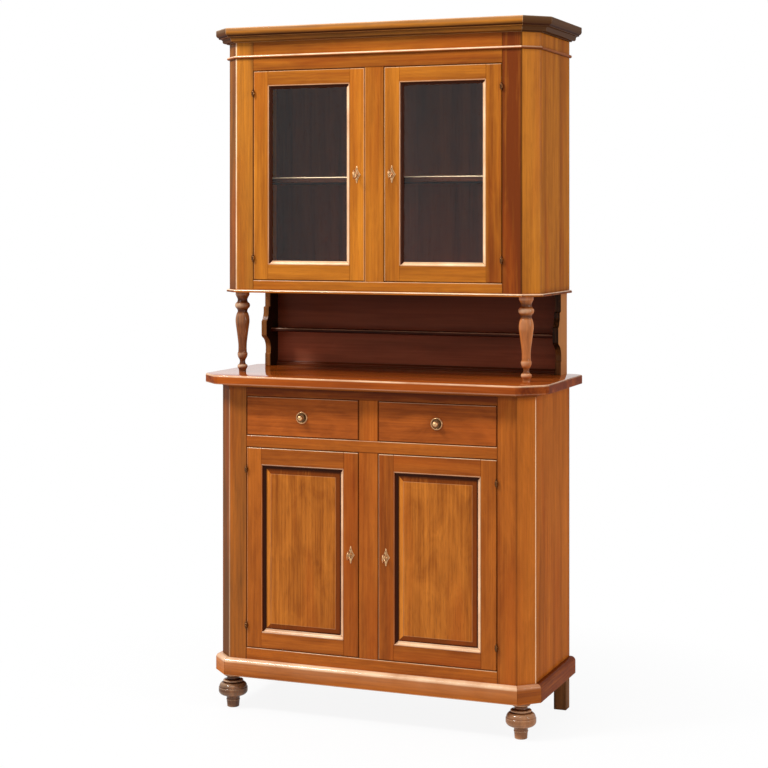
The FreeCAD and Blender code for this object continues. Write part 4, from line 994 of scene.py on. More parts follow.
class DRESSER_OT_worktop(bpy.types.Operator):
    """Moulded worktop slab"""
    bl_idname = "dresser.worktop"
    bl_label = "Worktop"

    def execute(self, context):
        _, front, under = low("worktop")
        half, back, top = high("worktop")
        path = chamfered(half, front, WORKTOP_CHAMFER, back)
        slab = Surface("worktop_slab", rub=0.8)
        shape = eased(outline(*path), WORKTOP_CORNER, 1.0, 0.0)
        # Painted light on the worktop: sides and corners darker than the front and the top lighter,
        # by the way they face, and pale top and bottom arrises as painted highlights.
        tones = facing(shape, (-0.8, -0.5, 0.2, -0.3, -0.8))
        slab.prism(shape, 2, under, top, X, (2.0, 4.0), tones, 2.0, (0.6, 1.0), (0.0, 0.4))
        show(slab, "Worktop cherry", "polished_cherry", "worktop")
        return {"FINISHED"}


class DRESSER_OT_recess(bpy.types.Operator):
    """Columns, brackets, back, shelf and foot moulding of the open recess"""
    bl_idname = "dresser.recess"
    bl_label = "Recess"

    def execute(self, context):
        sizes = context.scene.dresser_sizes
        columns = Surface("columns_turned", rub=0.7)
        profile = column_profile()
        # The relief edge values paint shade in the grooves and highlights on the beads, with wax
        # and wear.
        for x in (-COLUMN_X, COLUMN_X):
            columns.turned(profile, (x, COLUMN_Y, RECESS_Z), segments=sizes.segments,
                           tone=0.3 - 0.5 * (x < 0), edge=relief(profile, 12.0, 0.4))
        show(columns, "Turned cherry", "turned_walnut", "columns")

        brackets = Surface("brackets_shaped", rub=0.0)
        points, curved, edge = eased(bracket_shape(), 0.8, 2.0)
        shape = points + (BACK_Y, RECESS_Z), curved, 0 * edge
        inner = HALF - BRACKET_INSET - BRACKET_THICK
        # Painted light and shade on the brackets: outer faces lighter, inner faces much darker, the
        # right bracket darker than the left.
        for sign, tone in ((-1, -0.2), (1, -0.9)):
            ends = sorted((sign * inner, sign * (inner + BRACKET_THICK)))
            brackets.prism(shape, 0, *ends, Z, 0.0, tone, cap_tones=(0.9, -1.6)[::-sign])
        show(brackets, "Dark walnut", "cherry", "brackets")

        back = Surface("recess_back_board", tone=0.7)
        (x0, y0, z0), (x1, y1, z1) = low("recess_back_panel"), high("recess_back_panel")
        # Painted shade on the back of the recess: darkest at the top under the hutch, lighter lower
        # down and a little darker again at its foot.
        levels = z0 + (z1 - z0) * np.array((0.0, 0.14, 0.4, 0.6, 0.8, 1.0))
        front = [(y0, z) for z in levels[::-1]]
        shape = eased(outline((y0, z0), (y1, z0), (y1, z1), *front[:-1]), 0.0)
        shape = shaded(shape, levels, (-0.5, -0.1, -0.1, -0.6, -0.9, -1.0))
        back.prism(shape, 0, x0, x1, X, 0.0)
        show(back, "Recess lining", "dark_lining", "recess_back_panel")
        shelf = Surface("recess_shelf_board", tone=-0.5, rub=0.5)
        # Painted highlight on the shelf's top arris, painted shade under it.
        shelf.board(low("recess_shelf"), high("recess_shelf"), 0, 2.0, edge_values=LYING_LIGHT_AND_SHADE)
        show(shelf, "Dark lining", "dark_lining", "recess_shelf")

        wide, tall = SKIRTING_THICK, SKIRTING_HEIGHT
        foot = eased(outline((0, 0), (wide, 0), (wide, tall / 2),
                             ((wide * 0.6, tall * 0.7), (wide * 0.35, tall)), (0, tall)), 0.5, 1.0)
        skirting = Surface("recess_skirting_length", tone=0.3)
        skirting.moulding([(-inner, PANEL_Y), (inner, PANEL_Y)], foot, RECESS_Z)
        show(skirting, "Dark lining", "dark_lining", "recess_skirting")
        return {"FINISHED"}


class DRESSER_OT_hutch_carcass(bpy.types.Operator):
    """Sides, posts, face frame, floor, back and shelf of the hutch"""
    bl_idname = "dresser.hutch_carcass"
    bl_label = "Hutch carcass"

    def execute(self, context):
        sizes = context.scene.dresser_sizes
        for side, mirror in sides():
            node = f"hutch_side_{side}"
            board = Surface(f"{node}_board", mirror=mirror)
            # The dark butt ends fade out over 16 mm, painting shade under the cornice; the outer
            # back edge is darker.
            board.board((-HALF, HUTCH_Y + BEHIND_POST, HUTCH_WALL_Z),
                        (-HALF + BOARD, BACK_Y, CARCASS_TOP_Z), 2, TENON_SHOULDER, fade=16.0,
                        edge_values=BACK_EDGE)
            show(board, "Side cherry", "cherry", node)
            node = f"hutch_corner_post_{side}"
            piece = Surface(f"{node}_shaped", mirror=mirror, rub=0.8)
            # Painted light on the hutch posts: the left post a bright front arris and a dark
            # corner, the right post a dark front arris, a dark stile and a lighter corner.
            post = post_shape(HUTCH_Y, sizes.arris, (-0.8, -0.2) if mirror else (1.3, 0.3))
            tones = facing(post, (-0.1, 0.3, -0.9, 0, 0) if mirror else (-0.6, -0.9, 0.1, 0, 0))
            piece.prism(post, 2, HUTCH_WALL_Z, CARCASS_TOP_Z, Z, TENON_SHOULDER, tones)
            show(piece, "Cherry" if mirror else "Shaded cherry", "cherry", node)

        y0, y1 = HUTCH_Y, HUTCH_Y + BOARD
        sill, head = SILL["upper"], HEAD["upper"]
        rails = Surface("hutch_face_frame_members", rub=0.8)
        # Rails: painted highlight on the top arris, painted shade under it; centre stile: a pale
        # line on its left front arris and painted shade on the right one.
        for z0, z1, tone in ((HUTCH_WALL_Z, sill, 0.0), (head, CARCASS_TOP_Z, -0.35)):
            rails.board((-OPENING_X, y0, z0), (OPENING_X, y1, z1), 0, sizes.door_arris, tone,
                        ends=TENON_SHOULDER, edge_values=LYING_LIGHT_AND_SHADE)
        rails.board((-CENTRE_X, y0, sill), (CENTRE_X, y1, head), 2, sizes.door_arris, tone=0.1,
                    ends=TENON_SHOULDER, edge_values=(0.5, *STANDING_SHADE[1:]))
        show(rails, "Cherry", "cherry", "hutch_face_frame")

        floor = Surface("hutch_bottom_board", tone=0.1, rub=1.2)
        edge_x, _, top = high("hutch_bottom")
        # Painted light on the lip under the hutch: a pale top arris as painted highlight, a dark
        # bottom arris and darker sides and corners as painted shade.
        shape = eased(outline(*plan(HUTCH_Y, edge_x - HALF)), 2.5, edge_values=0.3)
        floor.prism(shape, 2, HUTCH_Z, HUTCH_WALL_Z, X, (1.0, 5.0),
                    facing(shape, (-1.2, -1.0, 0.2, -0.7, -1.0)), edge_values=(-0.5, 1.0))
        inside = eased(outline(*plan(HUTCH_Y, -BOARD, PANEL_Y)), 0.3)
        floor.prism(inside, 2, HUTCH_WALL_Z, top, X, 0.3, tone=-0.6)
        show(floor, "Moulding cherry", "cherry", "hutch_bottom")

        # The hutch shelf gets a painted highlight on its top arris and painted shade under it.
        for node, along, ease, tone, edge_values in (("hutch_back_panel", 2, 0.3, 0.0, 0.0),
                                              ("hutch_shelf", 0, 2.0, -1.0, LYING_LIGHT_AND_SHADE)):
            board = Surface(f"{node}_board", tone=tone, rub=1.0)
            board.board(low(node), high(node), along, ease, edge_values=edge_values)
            show(board, "Dark lining", "dark_lining", node)
        return {"FINISHED"}


# Heights in the cornice, as shares of its own, and what is added to the edge value there: a
# painted highlight towards the top and painted shade lower down, darkest from 0.40 to 0.47.
CORNICE_HEIGHTS = (0.0, 0.06, 0.20, 0.36, 0.40, 0.47, 0.52, 0.75, 1.0)
CORNICE_LIGHT_AND_SHADE = (-0.5, -0.2, -0.1, -0.3, -1.5, -1.5, -0.4, 0.1, 0.3)


class DRESSER_OT_mouldings(bpy.types.Operator):
    """Cornice, frieze bead and bead under the worktop"""
    bl_idname = "dresser.mouldings"
    bl_label = "Mouldings"

    def execute(self, context):
        out = high("cornice")[0] - HALF
        tall = high("cornice")[2] - CORNICE_Z
        cornice = Surface("cornice_lengths", tone=-0.6, rub=0.8, shade=0.6)
        # Painted light on the cornice: faces turned away from the light deeper, darker corners and
        # sides, pale mitre lines as painted highlights, and painted highlight and shade by height.
        shape = shaded(eased(cornice_shape(out, tall), 0.6, 1.2), tall * np.array(CORNICE_HEIGHTS),
                       CORNICE_LIGHT_AND_SHADE)
        cornice.moulding(plan(HUTCH_Y), shape, CORNICE_Z, tones=(0.3, -0.7, 0.45, -0.7, -0.7),
                         rubs=(0.6, 0.6, 1.0, 0.5, 0.5), joint=1.4)
        show(cornice, "Cornice cherry", "cherry", "cornice")

        beads = Surface("bead_mouldings_lengths", tone=-0.2, rub=1.2)
        for front_y, tall, out, top in ((BASE_Y, 11.0, 5.0, WORKTOP_Z),
                                        (HUTCH_Y, 10.0, 8.0, high("bead_mouldings")[2])):
            shape = eased(bead_shape(tall, out), 0.4, 1.0)
            # Painted highlight on the upper half of each bead and painted shade under it, strongest
            # on the front.
            shape = shaded(shape, (0, 0.4 * tall, 0.6 * tall, tall), (-0.8, -0.2, 1, 1))
            beads.moulding(plan(front_y), shape, top - tall, rubs=(0.4, 0.7, 1.0, 0.5, 0.1))
        show(beads, "Moulding cherry", "cherry", "bead_mouldings")
        return {"FINISHED"}


STAND_UP = np.array([[1, 0, 0], [0, 0, -1], [0, 1, 0]], float)


def stuck_shape(deep):
    """Rounded arris and steep hollow worked on the inner edge of a door frame."""
    shape = outline((0, 0), (0.08, 0), ((0.24, 0.05), (0.30, 0.22)), ((0.46, 0.72), (0.86, 0.84)),
                    (1, 0.86), (1, 1), (0, 1), scale=(STUCK_WIDTH, -deep))
    points, curved, _ = eased(shape, 0.5, 1.0)
    # Edge values pale towards the face: a painted highlight along the rounded arris.
    return points, curved, np.interp(points[:, 1] / deep, (-0.2, -0.05, 0.0), (1.1, 0.9, 0.5))


def clockwise(x0, x1, y0, y1):
    return [(x0, y0), (x0, y1), (x1, y1), (x1, y0)]


def door_surface(level, name, mirror, tone, rub):
    """Surface for pieces drawn lying down, front face up at z = 0, from the door's lower corner."""
    place = (-OPENING_X + DOOR_GAP, LEVELS[level], SILL[level] + DOOR_GAP)
    return Surface(name, STAND_UP, place, mirror, tone, rub)


def sight(level):
    """Inner edges of the members of a door frame."""
    height = HEAD[level] - SILL[level] - 2 * DOOR_GAP
    return DOOR_STILE, DOOR_WIDTH - DOOR_STILE, DOOR_BOTTOM_RAIL, height - TOP_RAILS[level], height


def frame_member(surface, outer, inner, run, axis, ease, rebated, tone, ends, edge_values,
                 end_edge_values=None):
    """Stile or rail; a rebated one is cut away behind its inner edge for the glass.  The given edge
    value is that of its outer arris: above 0 a pale line of wear and painted highlight, below 0
    painted shade beside the gap."""
    back = inner - np.sign(inner - outer) * (GROOVE_DEPTH - PANEL_PLAY) * rebated
    rebate = [(inner, -STUCK_DEPTH), (back, -STUCK_DEPTH)] if rebated else []
    shape = outline((outer, 0), (inner, 0), *rebate, (back, -BOARD), (outer, -BOARD))
    shape = eased(shape, ease, 1.0, (edge_values,) + (0,) * (len(shape[0]) - 1))
    surface.prism(shape, axis, *run, np.eye(3)[axis], ends, tone, edge_values=end_edge_values)


class DRESSER_OT_door_frames(bpy.types.Operator):
    """Stiles, rails, stuck mouldings and glazing beads of the four doors"""
    bl_idname = "dresser.door_frames"
    bl_label = "Door frames"

    def execute(self, context):
        ease = context.scene.dresser_sizes.door_arris
        for level in LEVELS:
            x0, x1, y0, y1, height = sight(level)
            glazed = level == "upper"
            for side, mirror in sides():
                node = f"{level}_door_{side}_frame"
                # Painted light on the doors: pale edges on the hinge side of the left doors, the
                # meeting edges of the upper doors and of the lower right door, and along the tops,
                # as painted highlight; dark on the other edges and along the bottoms, as painted
                # shade. The upper left door's lighter tone is painted sheen.
                door = door_surface(level, f"{node}_members", mirror,
                                    -0.2 if mirror or not glazed else 0.1, 1.0)
                hung, meets = -0.4 if mirror else 0.3, 0.8 if glazed else 0.5 if mirror else -0.4
                foot, head = -0.7, 0.5 if glazed else 0.9
                for outer, inner, edge_values in ((0, x0, hung), (DOOR_WIDTH, x1, meets)):
                    frame_member(door, outer, inner, (0, height), 1, ease, glazed, 0.0, ease, edge_values,
                                 (foot, head))
                for outer, inner, edge_values in ((0, y0, foot), (height, y1, head)):
                    frame_member(door, outer, inner, (x0, x1), 0, ease, glazed, -0.15,
                                 TENON_SHOULDER, edge_values)
                # Painted light on the stuck mouldings: faces turned away from the light deeper, the
                # right and bottom lengths pale all over as painted highlight, the left and top dark
                # as painted shade.
                door.shade = 1.3
                deep = STUCK_DEPTH if glazed else PANEL_SET
                shape = stuck_shape(deep)
                hollow = np.interp(shape[0][:, 1], (-0.5 * deep, -0.2 * deep), (1, 0))
                lit = np.array((1, -1.2, -1.2, 1) if mirror else (-1.2, -1.2, 1, 1))[:, None]
                arris = np.ones((4, 1))
                arris[2 if mirror else 0] = 1.0 if glazed else 0.2
                door.moulding(clockwise(x0, x1, y0, y1), shape, 0, closed=True,
                              rubs=arris + (lit - arris) * hollow)
                door.rub, door.shade = 0.2, 0.0
                if glazed:
                    hold = GROOVE_DEPTH - PANEL_PLAY
                    behind = -STUCK_DEPTH - GLASS_THICK
                    bead = eased(outline((0, 1 - BOARD), (GLAZING_BEAD / 2, 1 - BOARD),
                                         (GLAZING_BEAD, behind), (0, behind)), 0.6, 1.0)
                    door.moulding(clockwise(x0 - hold, x1 + hold, y0 - hold, y1 + hold), bead, 0,
                                  closed=True)
                show(door, "Cherry" if glazed else "Base cherry", "cherry", node)
        return {"FINISHED"}


class DRESSER_OT_door_panels(bpy.types.Operator):
    """Raised panels of the lower doors"""
    bl_idname = "dresser.door_panels"
    bl_label = "Door panels"

    def execute(self, context):
        x0, x1, y0, y1, _ = sight("lower")
        hold = GROOVE_DEPTH - PANEL_PLAY
        foot, field, level, top = STUCK_WIDTH, PANEL_MARGIN, -PANEL_SET, -PANEL_FIELD
        # Edge values across the panel: dark at the foot of the moulding and on the bevel beside it,
        # as wax in the quirk and painted shade, and a pale line at the edge of the field as painted
        # highlight.
        steps = np.array([
            (-hold, level - PANEL_EDGE, 0), (-hold, level, 0), (foot - 0.5, level, -1),
            (foot + 0.9, level + 0.1, -1), (foot + 4.0, level + 0.7, -0.2),
            (foot + 6.0, level + 1.0, -0.1), (field - 1.5, top - 0.9, 0),
            (field, top - 0.7, -0.5), (field + 0.1, top - 0.2, 0.4), (field + 0.6, top, 0.6),
            (field + 3.0, top, 0)])
        inset, depth, edge = steps.T
        rings = np.empty((len(steps), 4, 3))
        rings[..., 0] = np.stack([x0 + inset, x1 - inset, x1 - inset, x0 + inset], 1)
        rings[..., 1] = np.stack([y0 + inset, y0 + inset, y1 - inset, y1 - inset], 1)
        rings[..., 2] = depth[:, None]
        for side, mirror in sides():
            node = f"lower_door_{side}_panel"
            panel = door_surface("lower", f"{node}_raised", mirror, 0.0, 0.3)
            tones = np.zeros((len(steps) - 1, 4))
            # Painted light on the bevels: the left bevel pale, the others dark, the right one
            # darker still near its foot.
            tones[1:7] = (-1.2, 0.9, -1.0, -1.2) if mirror else (-1.2, -1.2, -1.0, 0.9)
            values = np.repeat(edge[:, None], 4, 1)
            values[4, [0, 3] if mirror else [1, 2]] = -1.0
            panel.loft(rings, values, np.array(False), Y, tones)
            show(panel, "Panel cherry", "figured_cherry", node)
        return {"FINISHED"}


class DRESSER_OT_drawers(bpy.types.Operator):
    """Drawer fronts and their turned knobs"""
    bl_idname = "dresser.drawers"
    bl_label = "Drawers"

    def execute(self, context):
        sizes = context.scene.dresser_sizes
        rim, ball, reach = ROSETTE_RADIUS, BALL_RADIUS, KNOB_REACH
        waist = 0.45 * ball
        profile, _ = outline(
            (rim, 0.02), ((rim + 0.05, 1.6), (0.96 * rim, 3.2)),
            ((0.90 * rim, 4.5), (0.82 * rim, 3.6)), ((0.78 * rim, 2.4), (0.72 * rim, 1.6)),
            (0.42 * rim, 1.2), ((0.37 * rim, 2.0), (0.34 * rim, 3.0)),
            ((waist + 0.8, 3.6), (waist, 4.6)), ((waist - 0.3, 5.2), (waist, 6.0)),
            ((ball, reach - ball), (0.35, reach)), cuts=10)
        # Painted light on the knob's rosette: painted shade in the dish, painted highlight on the
        # rim.
        edge_values = np.interp(profile[:, 0] / rim, (0.0, 0.3, 0.36, 0.50, 0.74, 0.82, 0.9, 1.0),
                         (0.3, 0.0, -0.8, -1.0, -0.9, 0.2, 1.0, 0.6)) * (profile[:, 1] < 5)
        profile = profile * (1, -1)
        for side, mirror in sides():
            node = f"drawer_{side}_front"
            front = Surface(f"{node}_board", tone=0.0 if mirror else -0.3, rub=0.8)
            # Drawer fronts: painted highlight on the top arris, painted shade under it and at both
            # ends beside the frame.
            front.board(low(node), high(node), 0, sizes.door_arris, edge_values=LYING_LIGHT_AND_SHADE,
                        end_edge_values=(-0.6, -0.6))
            show(front, "Drawer cherry", "cherry", node)
            node = f"drawer_{side}_knob"
            middle = (low(node) + high(node)) / 2
            knob = Surface(f"{node}_turned")
            knob.turned(profile, (middle[0], BASE_Y, middle[2]), axis=1, segments=48, edge=edge_values)
            show(knob, "Brass", "brass", node)
        return {"FINISHED"}


def by_angle(points, angle):
    """Radius of a star-shaped outline at each angle, read off along its sides."""
    turn = np.arctan2(points[:, 1], points[:, 0])
    order = np.argsort(turn)
    turn, radius = turn[order], np.linalg.norm(points, axis=1)[order]
    return np.interp(angle, turn, radius, period=2 * np.pi)


def dense(points, pieces=12):
    """Closed outline with every side divided evenly."""
    share = np.linspace(0, 1, pieces, endpoint=False)[None, :, None]
    following = np.roll(points, -1, 0)
    return (points[:, None] * (1 - share) + following[:, None] * share).reshape(-1, 2)


def plate_shape():
    """Diamond with drawn-out tips, as (x, z)."""
    points, _ = outline((-1, 0), ((-0.36, 0.5), (-0.12, 1)), (0.12, 1), ((0.36, 0.5), (1, 0)),
                        ((0.36, -0.5), (0.12, -1)), (-0.12, -1), ((-0.36, -0.5), (-1, 0)),
                        scale=(14.0, 27.0), cuts=16)
    return points[:-1]


class DRESSER_OT_locks(bpy.types.Operator):
    """Escutcheons, lock cases and keys"""
    bl_idname = "dresser.locks"
    bl_label = "Locks and keys"

    def execute(self, context):
        for level, front in LEVELS.items():
            axis = (-CENTRE_X - DOOR_GAP - LOCK_BACKSET, front, (SILL[level] + HEAD[level]) / 2)
            for side, mirror in sides():
                node = f"{level}_door_{side}_lock"
                lock = Surface(f"{node}_plate_and_case", move=axis, mirror=mirror)
                self.escutcheon(lock)
                self.case(lock)
                show(lock, "Brass", "brass", node)
                node = f"{level}_door_{side}_key"
                key = Surface(f"{node}_forged", move=axis, mirror=mirror)
                self.key(key)
                show(key, "Brass", "brass", node)
        return {"FINISHED"}

    def escutcheon(self, lock):
        """Ring between the plate's outline and the keyhole, domed between the two.

        At angle a the foot of the slot is SLOT_REACH / -sin a away, as long as the slot is wide
        enough there: SLOT_REACH |cos a| < -SLOT_HALF sin a.
        """
        angle = np.linspace(-np.pi, np.pi, 180, endpoint=False)
        outer = by_angle(dense(plate_shape(), 3), angle)
        down = -np.sin(angle)
        inner = np.where(SLOT_REACH * np.abs(np.cos(angle)) < SLOT_HALF * down,
                         SLOT_REACH / np.maximum(down, 0.1), KEYHOLE_RADIUS)
        inner = np.minimum(inner, outer - 1.2)
        steps = ((1.0, 0.0, 0), (1.0, 0.7, 1), (0.97, 1.2, 1), (0.90, 1.45, 0), (0.72, 1.5, 0),
                 (0.66, 1.1, -1), (0.60, 1.1, -1), (0.54, 1.5, 0), (0.12, 1.5, 0), (0.0, 1.2, 1),
                 (0.0, 0.0, -1))
        share, lift, edge = np.array(steps, float).T
        radius = inner[None] + (outer - inner)[None] * share[:, None]
        rings = np.stack([radius * np.cos(angle), np.repeat(-lift[:, None], len(angle), 1),
                          radius * np.sin(angle)], -1)
        lock.loft(rings, np.repeat(edge[:, None], len(angle), 1), np.array(True), X, looped=True)
        pin, _ = outline((1.5, 0), ((1.2, 0.8), (0.2, 1.1)), cuts=5)
        for z in (-21.5, 21.5):
            lock.turned(pin * (1, -1), (0, -1.3, z), axis=1, segments=20)

    def case(self, lock):
        """Open-fronted rim lock case behind the door, slotted for the bolt."""
        half, wall = CASE_HALF, CASE_WALL
        x1 = LOCK_BACKSET - 2.0
        x0 = x1 - 2 * half
        y0, y1 = BOARD, BOARD + CASE_DEPTH
        angle = np.linspace(-np.pi, np.pi, 96, endpoint=False)
        outer = by_angle(dense(rectangle(x0, x1, -half, half)[0], 24), angle)
        hole = np.full_like(outer, KEY_RADIUS + 0.3)
        inner = y1 - wall
        steps = ((outer, inner, 0), (outer, y1 - 0.3, 1), (outer - 0.4, y1, 1), (outer - 4, y1, 0),
                 (hole + 2, y1, 0), (hole, y1, 1), (hole, inner, 0))
        rings = np.stack([np.stack([radius * np.cos(angle), 0 * angle + y,
                                    radius * np.sin(angle)], -1) for radius, y, _ in steps])
        edge = np.repeat(np.array([[value] for _, _, value in steps], float), len(angle), 1)
        lock.loft(rings, edge, np.array(False), X, looped=True)
        for a, b in (((x0, y0, -half), (x0 + wall, inner, half)),
                     ((x0 + wall, y0, -half), (x1 - wall, inner, -half + wall)),
                     ((x0 + wall, y0, half - wall), (x1 - wall, inner, half)),
                     ((x1 - wall, y0, -half), (x1, inner, BOLT_SLOT[0])),
                     ((x1 - wall, y0, BOLT_SLOT[1]), (x1, inner, half))):
            lock.board(a, b, 2, 0.3, fade=1.0)

    def key(self, key):
        """Oval bow carried round as a flattened round bar, with shank, collar and bit."""
        angle = np.linspace(0, 2 * np.pi, 56, endpoint=False)
        round_bar = np.linspace(0, 2 * np.pi, 14, endpoint=False)
        path = np.stack([0 * angle, BOW_Y + BOW_REACH * np.cos(angle),
                         BOW_TALL * np.sin(angle)], 1)
        out = np.stack([0 * angle, np.cos(angle) / BOW_REACH, np.sin(angle) / BOW_TALL], 1)
        out /= np.linalg.norm(out, axis=1)[:, None]
        rings = (path[:, None] + 2.25 * np.cos(round_bar)[None, :, None] * out[:, None]
                 + 1.6 * np.sin(round_bar)[None, :, None] * X)
        key.loft(rings, np.zeros(rings.shape[:2]), np.array(True), Y, looped=True)
        radius, start, end = KEY_RADIUS, BOW_Y + BOW_REACH, BOARD + CASE_DEPTH
        shank, _ = outline((radius - 0.6, start + 0.4), (radius, start + 2.2), (radius, -5.6),
                           ((4.25, -4.6), (2.6, -3.6)), (radius, -3.2), (radius, end - 0.4),
                           ((radius - 0.2, end), (radius - 0.9, end)), cuts=8)
        key.turned(shank, (0, 0, 0), axis=1, segments=32)
        bolt_middle = BOARD + 5.25
        key.board((-1.25, bolt_middle - 3, -10), (1.25, bolt_middle + 3, -1.5), 2, 0.3, fade=0.6)


class DRESSER_OT_hinges(bpy.types.Operator):
    """Both halves of the eight ball-tipped hinges"""
    bl_idname = "dresser.hinges"
    bl_label = "Hinges"

    def execute(self, context):
        pins = Surface("hinge_pins_knuckles")
        for level, front in LEVELS.items():
            centres = (SILL[level] + DOOR_GAP + HINGE_INSET, HEAD[level] - DOOR_GAP - HINGE_INSET)
            for side, mirror in sides():
                node = f"{level}_door_{side}_hinges"
                door = Surface(f"{node}_knuckles", mirror=mirror)
                pins.mirror = mirror
                for z in centres:
                    at = np.array((-OPENING_X + DOOR_GAP / 2, front - HINGE_STANDOFF, z))
                    self.half(door, at, 1)
                    self.half(pins, at, -1)
                show(door, "Bronze", "brass", node)
        show(pins, "Bronze", "brass", "hinge_pins")
        return {"FINISHED"}

    def half(self, surface, at, sign):
        """Knuckle with a necked ball tip, and the leaf let into the gap beside the door."""
        r, tall = KNUCKLE_RADIUS, KNUCKLE_BODY
        profile, _ = outline((r - 0.3, 0.05), (r, 0.4), (r, tall - 4.4),
                             ((r - 0.9, tall - 1.6), (2.7, tall - 0.4)), (2.6, tall),
                             ((2.9, tall + 1.2), (0.15, tall + 2.6)), cuts=8)
        surface.turned(profile * (1, sign), at, segments=32)
        across = (0.1, DOOR_GAP / 2) if sign > 0 else (-DOOR_GAP / 2, -0.1)
        surface.board(at + (across[0], 2.2, 0.05 * sign),
                      at + (across[1], 21.0, sign * KNUCKLE_HEIGHT), 2, 0.2, fade=0.5)


class DRESSER_OT_inner_parts(bpy.types.Operator):
    """Finish the parts that stay as they come: inside boards, drawer boxes, bolts and panes"""
    bl_idname = "dresser.inner_parts"
    bl_label = "Inner parts"

    def execute(self, context):
        kept = {
            "Plain inside": ["base_bottom", "base_shelf", "hutch_top", "drawer_runners",
                             "drawer_left_box", "drawer_right_box"],
            "Plain inside back": ["base_back_panel"],
            "Steel bolt": [f"{level}_door_{side}_bolt" for level in LEVELS for side, _ in sides()],
            "Pane": [f"upper_door_{side}_glass" for side, _ in sides()]}
        for material, nodes in kept.items():
            for node in nodes:
                own = frame["nodes"][node].data.materials
                own.clear()
                own.append(bpy.data.materials[material])
        return {"FINISHED"}


# Places and sizes of the stage, in metres.
FLOOR_RADIUS = 14.0
FLOOR_FADE = (0.5, 1.5)         # distances between which the floor turns to plain white
LAMP_AIM = (0.0, 0.0, 1.1)
CAMERA_PLACE = (2.10869, -5.35539, 1.58191)


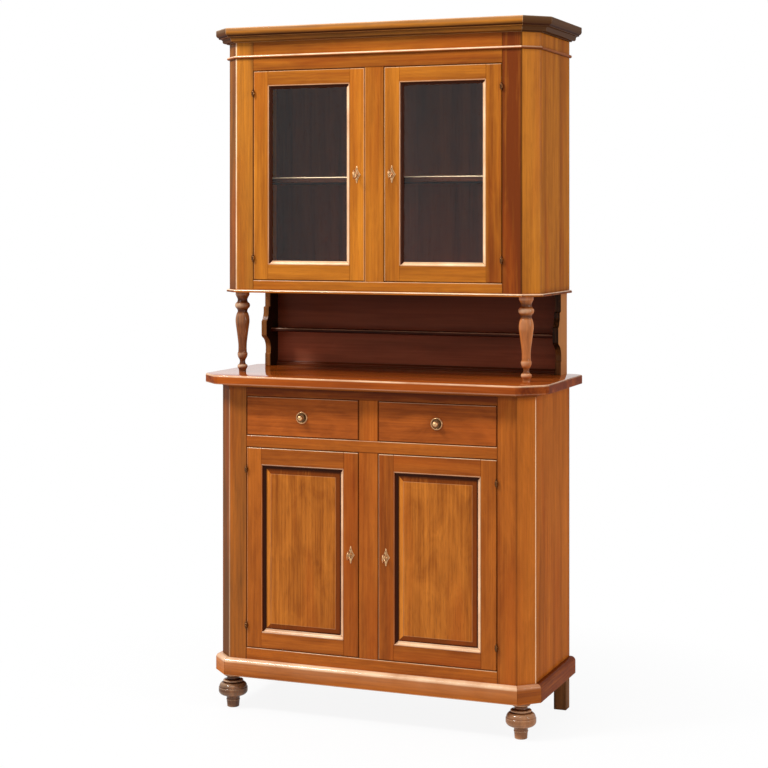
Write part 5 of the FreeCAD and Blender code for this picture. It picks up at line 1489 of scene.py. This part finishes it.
class DRESSER_OT_stage(bpy.types.Operator):
    """Pale floor, soft studio light and the camera"""
    bl_idname = "dresser.stage"
    bl_label = "Stage"

    def execute(self, context):
        studio = context.scene.dresser_studio
        context.scene.view_settings.view_transform = "Standard"
        self.floor()
        self.world(context)
        self.lamp("Key", (-3.3, -3.0, 5.6), (1.4, 1.4), studio.key_power)
        self.lamp("Fill", (4.0, -0.6, 2.2), (0.6, 1.8), studio.fill_power)
        self.lamp("Overhead", (0.0, -1.8, 3.4), (2.6, 0.5), studio.front_power)
        camera = bpy.data.cameras.new("Camera")
        camera.lens = studio.lens
        camera.sensor_width = 36.0
        camera.shift_y = studio.rise
        holder = bpy.data.objects.new("Camera", camera)
        holder.location = CAMERA_PLACE
        holder.rotation_euler = (np.pi / 2, 0, studio.yaw)
        context.scene.collection.objects.link(holder)
        context.scene.camera = holder
        return {"FINISHED"}

    def floor(self):
        """Disc whose white fades into the background away from the object."""
        surface = bpy.data.meshes.new("Floor")
        angle = np.linspace(0, 2 * np.pi, 96, endpoint=False)
        ring = np.stack([np.cos(angle), np.sin(angle), 0 * angle], 1) * FLOOR_RADIUS
        surface.from_pydata(ring.tolist(), [], [list(range(len(ring)))])
        floor = bpy.data.objects.new("Floor", surface)
        bpy.context.scene.collection.objects.link(floor)
        graph, shader = started("Floor")
        shader.inputs["Base Color"].default_value = (0.9, 0.9, 0.9, 1)
        shader.inputs["Roughness"].default_value = 0.6
        distance = graph.add("VectorMath", {0: graph.place()}, operation="LENGTH").outputs["Value"]
        factor = graph.times(graph.seen(), graph.spread(distance, *FLOOR_FADE, 0.9, 1.0))
        glow = graph.add("Emission", {"Color": (1, 1, 1, 1), "Strength": 1.0})
        graph.feed(graph.end, {0: graph.mix(factor, shader.outputs[0], glow.outputs[0])})
        surface.materials.append(bpy.data.materials["Floor"])

    def world(self, context):
        """Soft light all round that looks plain white."""
        world = bpy.data.worlds.new("Studio")
        context.scene.world = world
        world.use_nodes = True
        world.node_tree.nodes.clear()
        graph = Graph(world.node_tree)
        soft, white = (graph.add("Background", {"Color": (1, 1, 1, 1), "Strength": strength})
                       for strength in (0.38, 1.0))
        both = graph.mix(graph.seen(), soft.outputs[0], white.outputs[0])
        graph.add("OutputWorld", {0: both})

    def lamp(self, name, place, size, power):
        """Soft box of a size, in metres, aimed at the middle of the dresser."""
        lamp = bpy.data.lights.new(name, "AREA")
        lamp.shape = "RECTANGLE"
        lamp.size, lamp.size_y = size
        lamp.energy = power
        holder = bpy.data.objects.new(name, lamp)
        aim = np.array(LAMP_AIM) - place
        yaw = np.arctan2(-aim[0], aim[1])
        tilt = np.arctan2(np.hypot(aim[0], aim[1]), -aim[2])
        holder.location = place
        holder.rotation_euler = (tilt, 0, yaw)
        bpy.context.scene.collection.objects.link(holder)


class DRESSER_PT_panel(bpy.types.Panel):
    """Buttons for the pieces, and the sizes and colours they use"""
    bl_idname = "DRESSER_PT_panel"
    bl_label = "Dresser with hutch"
    bl_space_type = "VIEW_3D"
    bl_region_type = "UI"
    bl_category = "Dresser"

    def draw(self, context):
        for operator in OPERATORS:
            self.layout.operator(operator.bl_idname)
        for group_name in ("dresser_sizes", "dresser_finish", "dresser_studio"):
            values = getattr(context.scene, group_name)
            box = self.layout.box()
            for name in values.__annotations__:
                box.prop(values, name)


GROUPS = {"dresser_finish": DresserFinish, "dresser_sizes": DresserSizes,
          "dresser_studio": DresserStudio}
OPERATORS = (DRESSER_OT_finishes, DRESSER_OT_base_carcass, DRESSER_OT_worktop, DRESSER_OT_recess,
             DRESSER_OT_hutch_carcass, DRESSER_OT_mouldings, DRESSER_OT_door_frames,
             DRESSER_OT_door_panels, DRESSER_OT_drawers, DRESSER_OT_locks, DRESSER_OT_hinges,
             DRESSER_OT_inner_parts, DRESSER_OT_stage)


def register():
    for kind in (*GROUPS.values(), *OPERATORS, DRESSER_PT_panel):
        bpy.utils.register_class(kind)
    for name, kind in GROUPS.items():
        setattr(bpy.types.Scene, name, PointerProperty(type=kind))


def unregister():
    for name in GROUPS:
        delattr(bpy.types.Scene, name)
    for kind in reversed((*GROUPS.values(), *OPERATORS, DRESSER_PT_panel)):
        bpy.utils.unregister_class(kind)


def main():
    register()
    for operator in OPERATORS:
        family, name = operator.bl_idname.split(".")
        getattr(getattr(bpy.ops, family), name)()


if __name__ == "__main__":
    main()
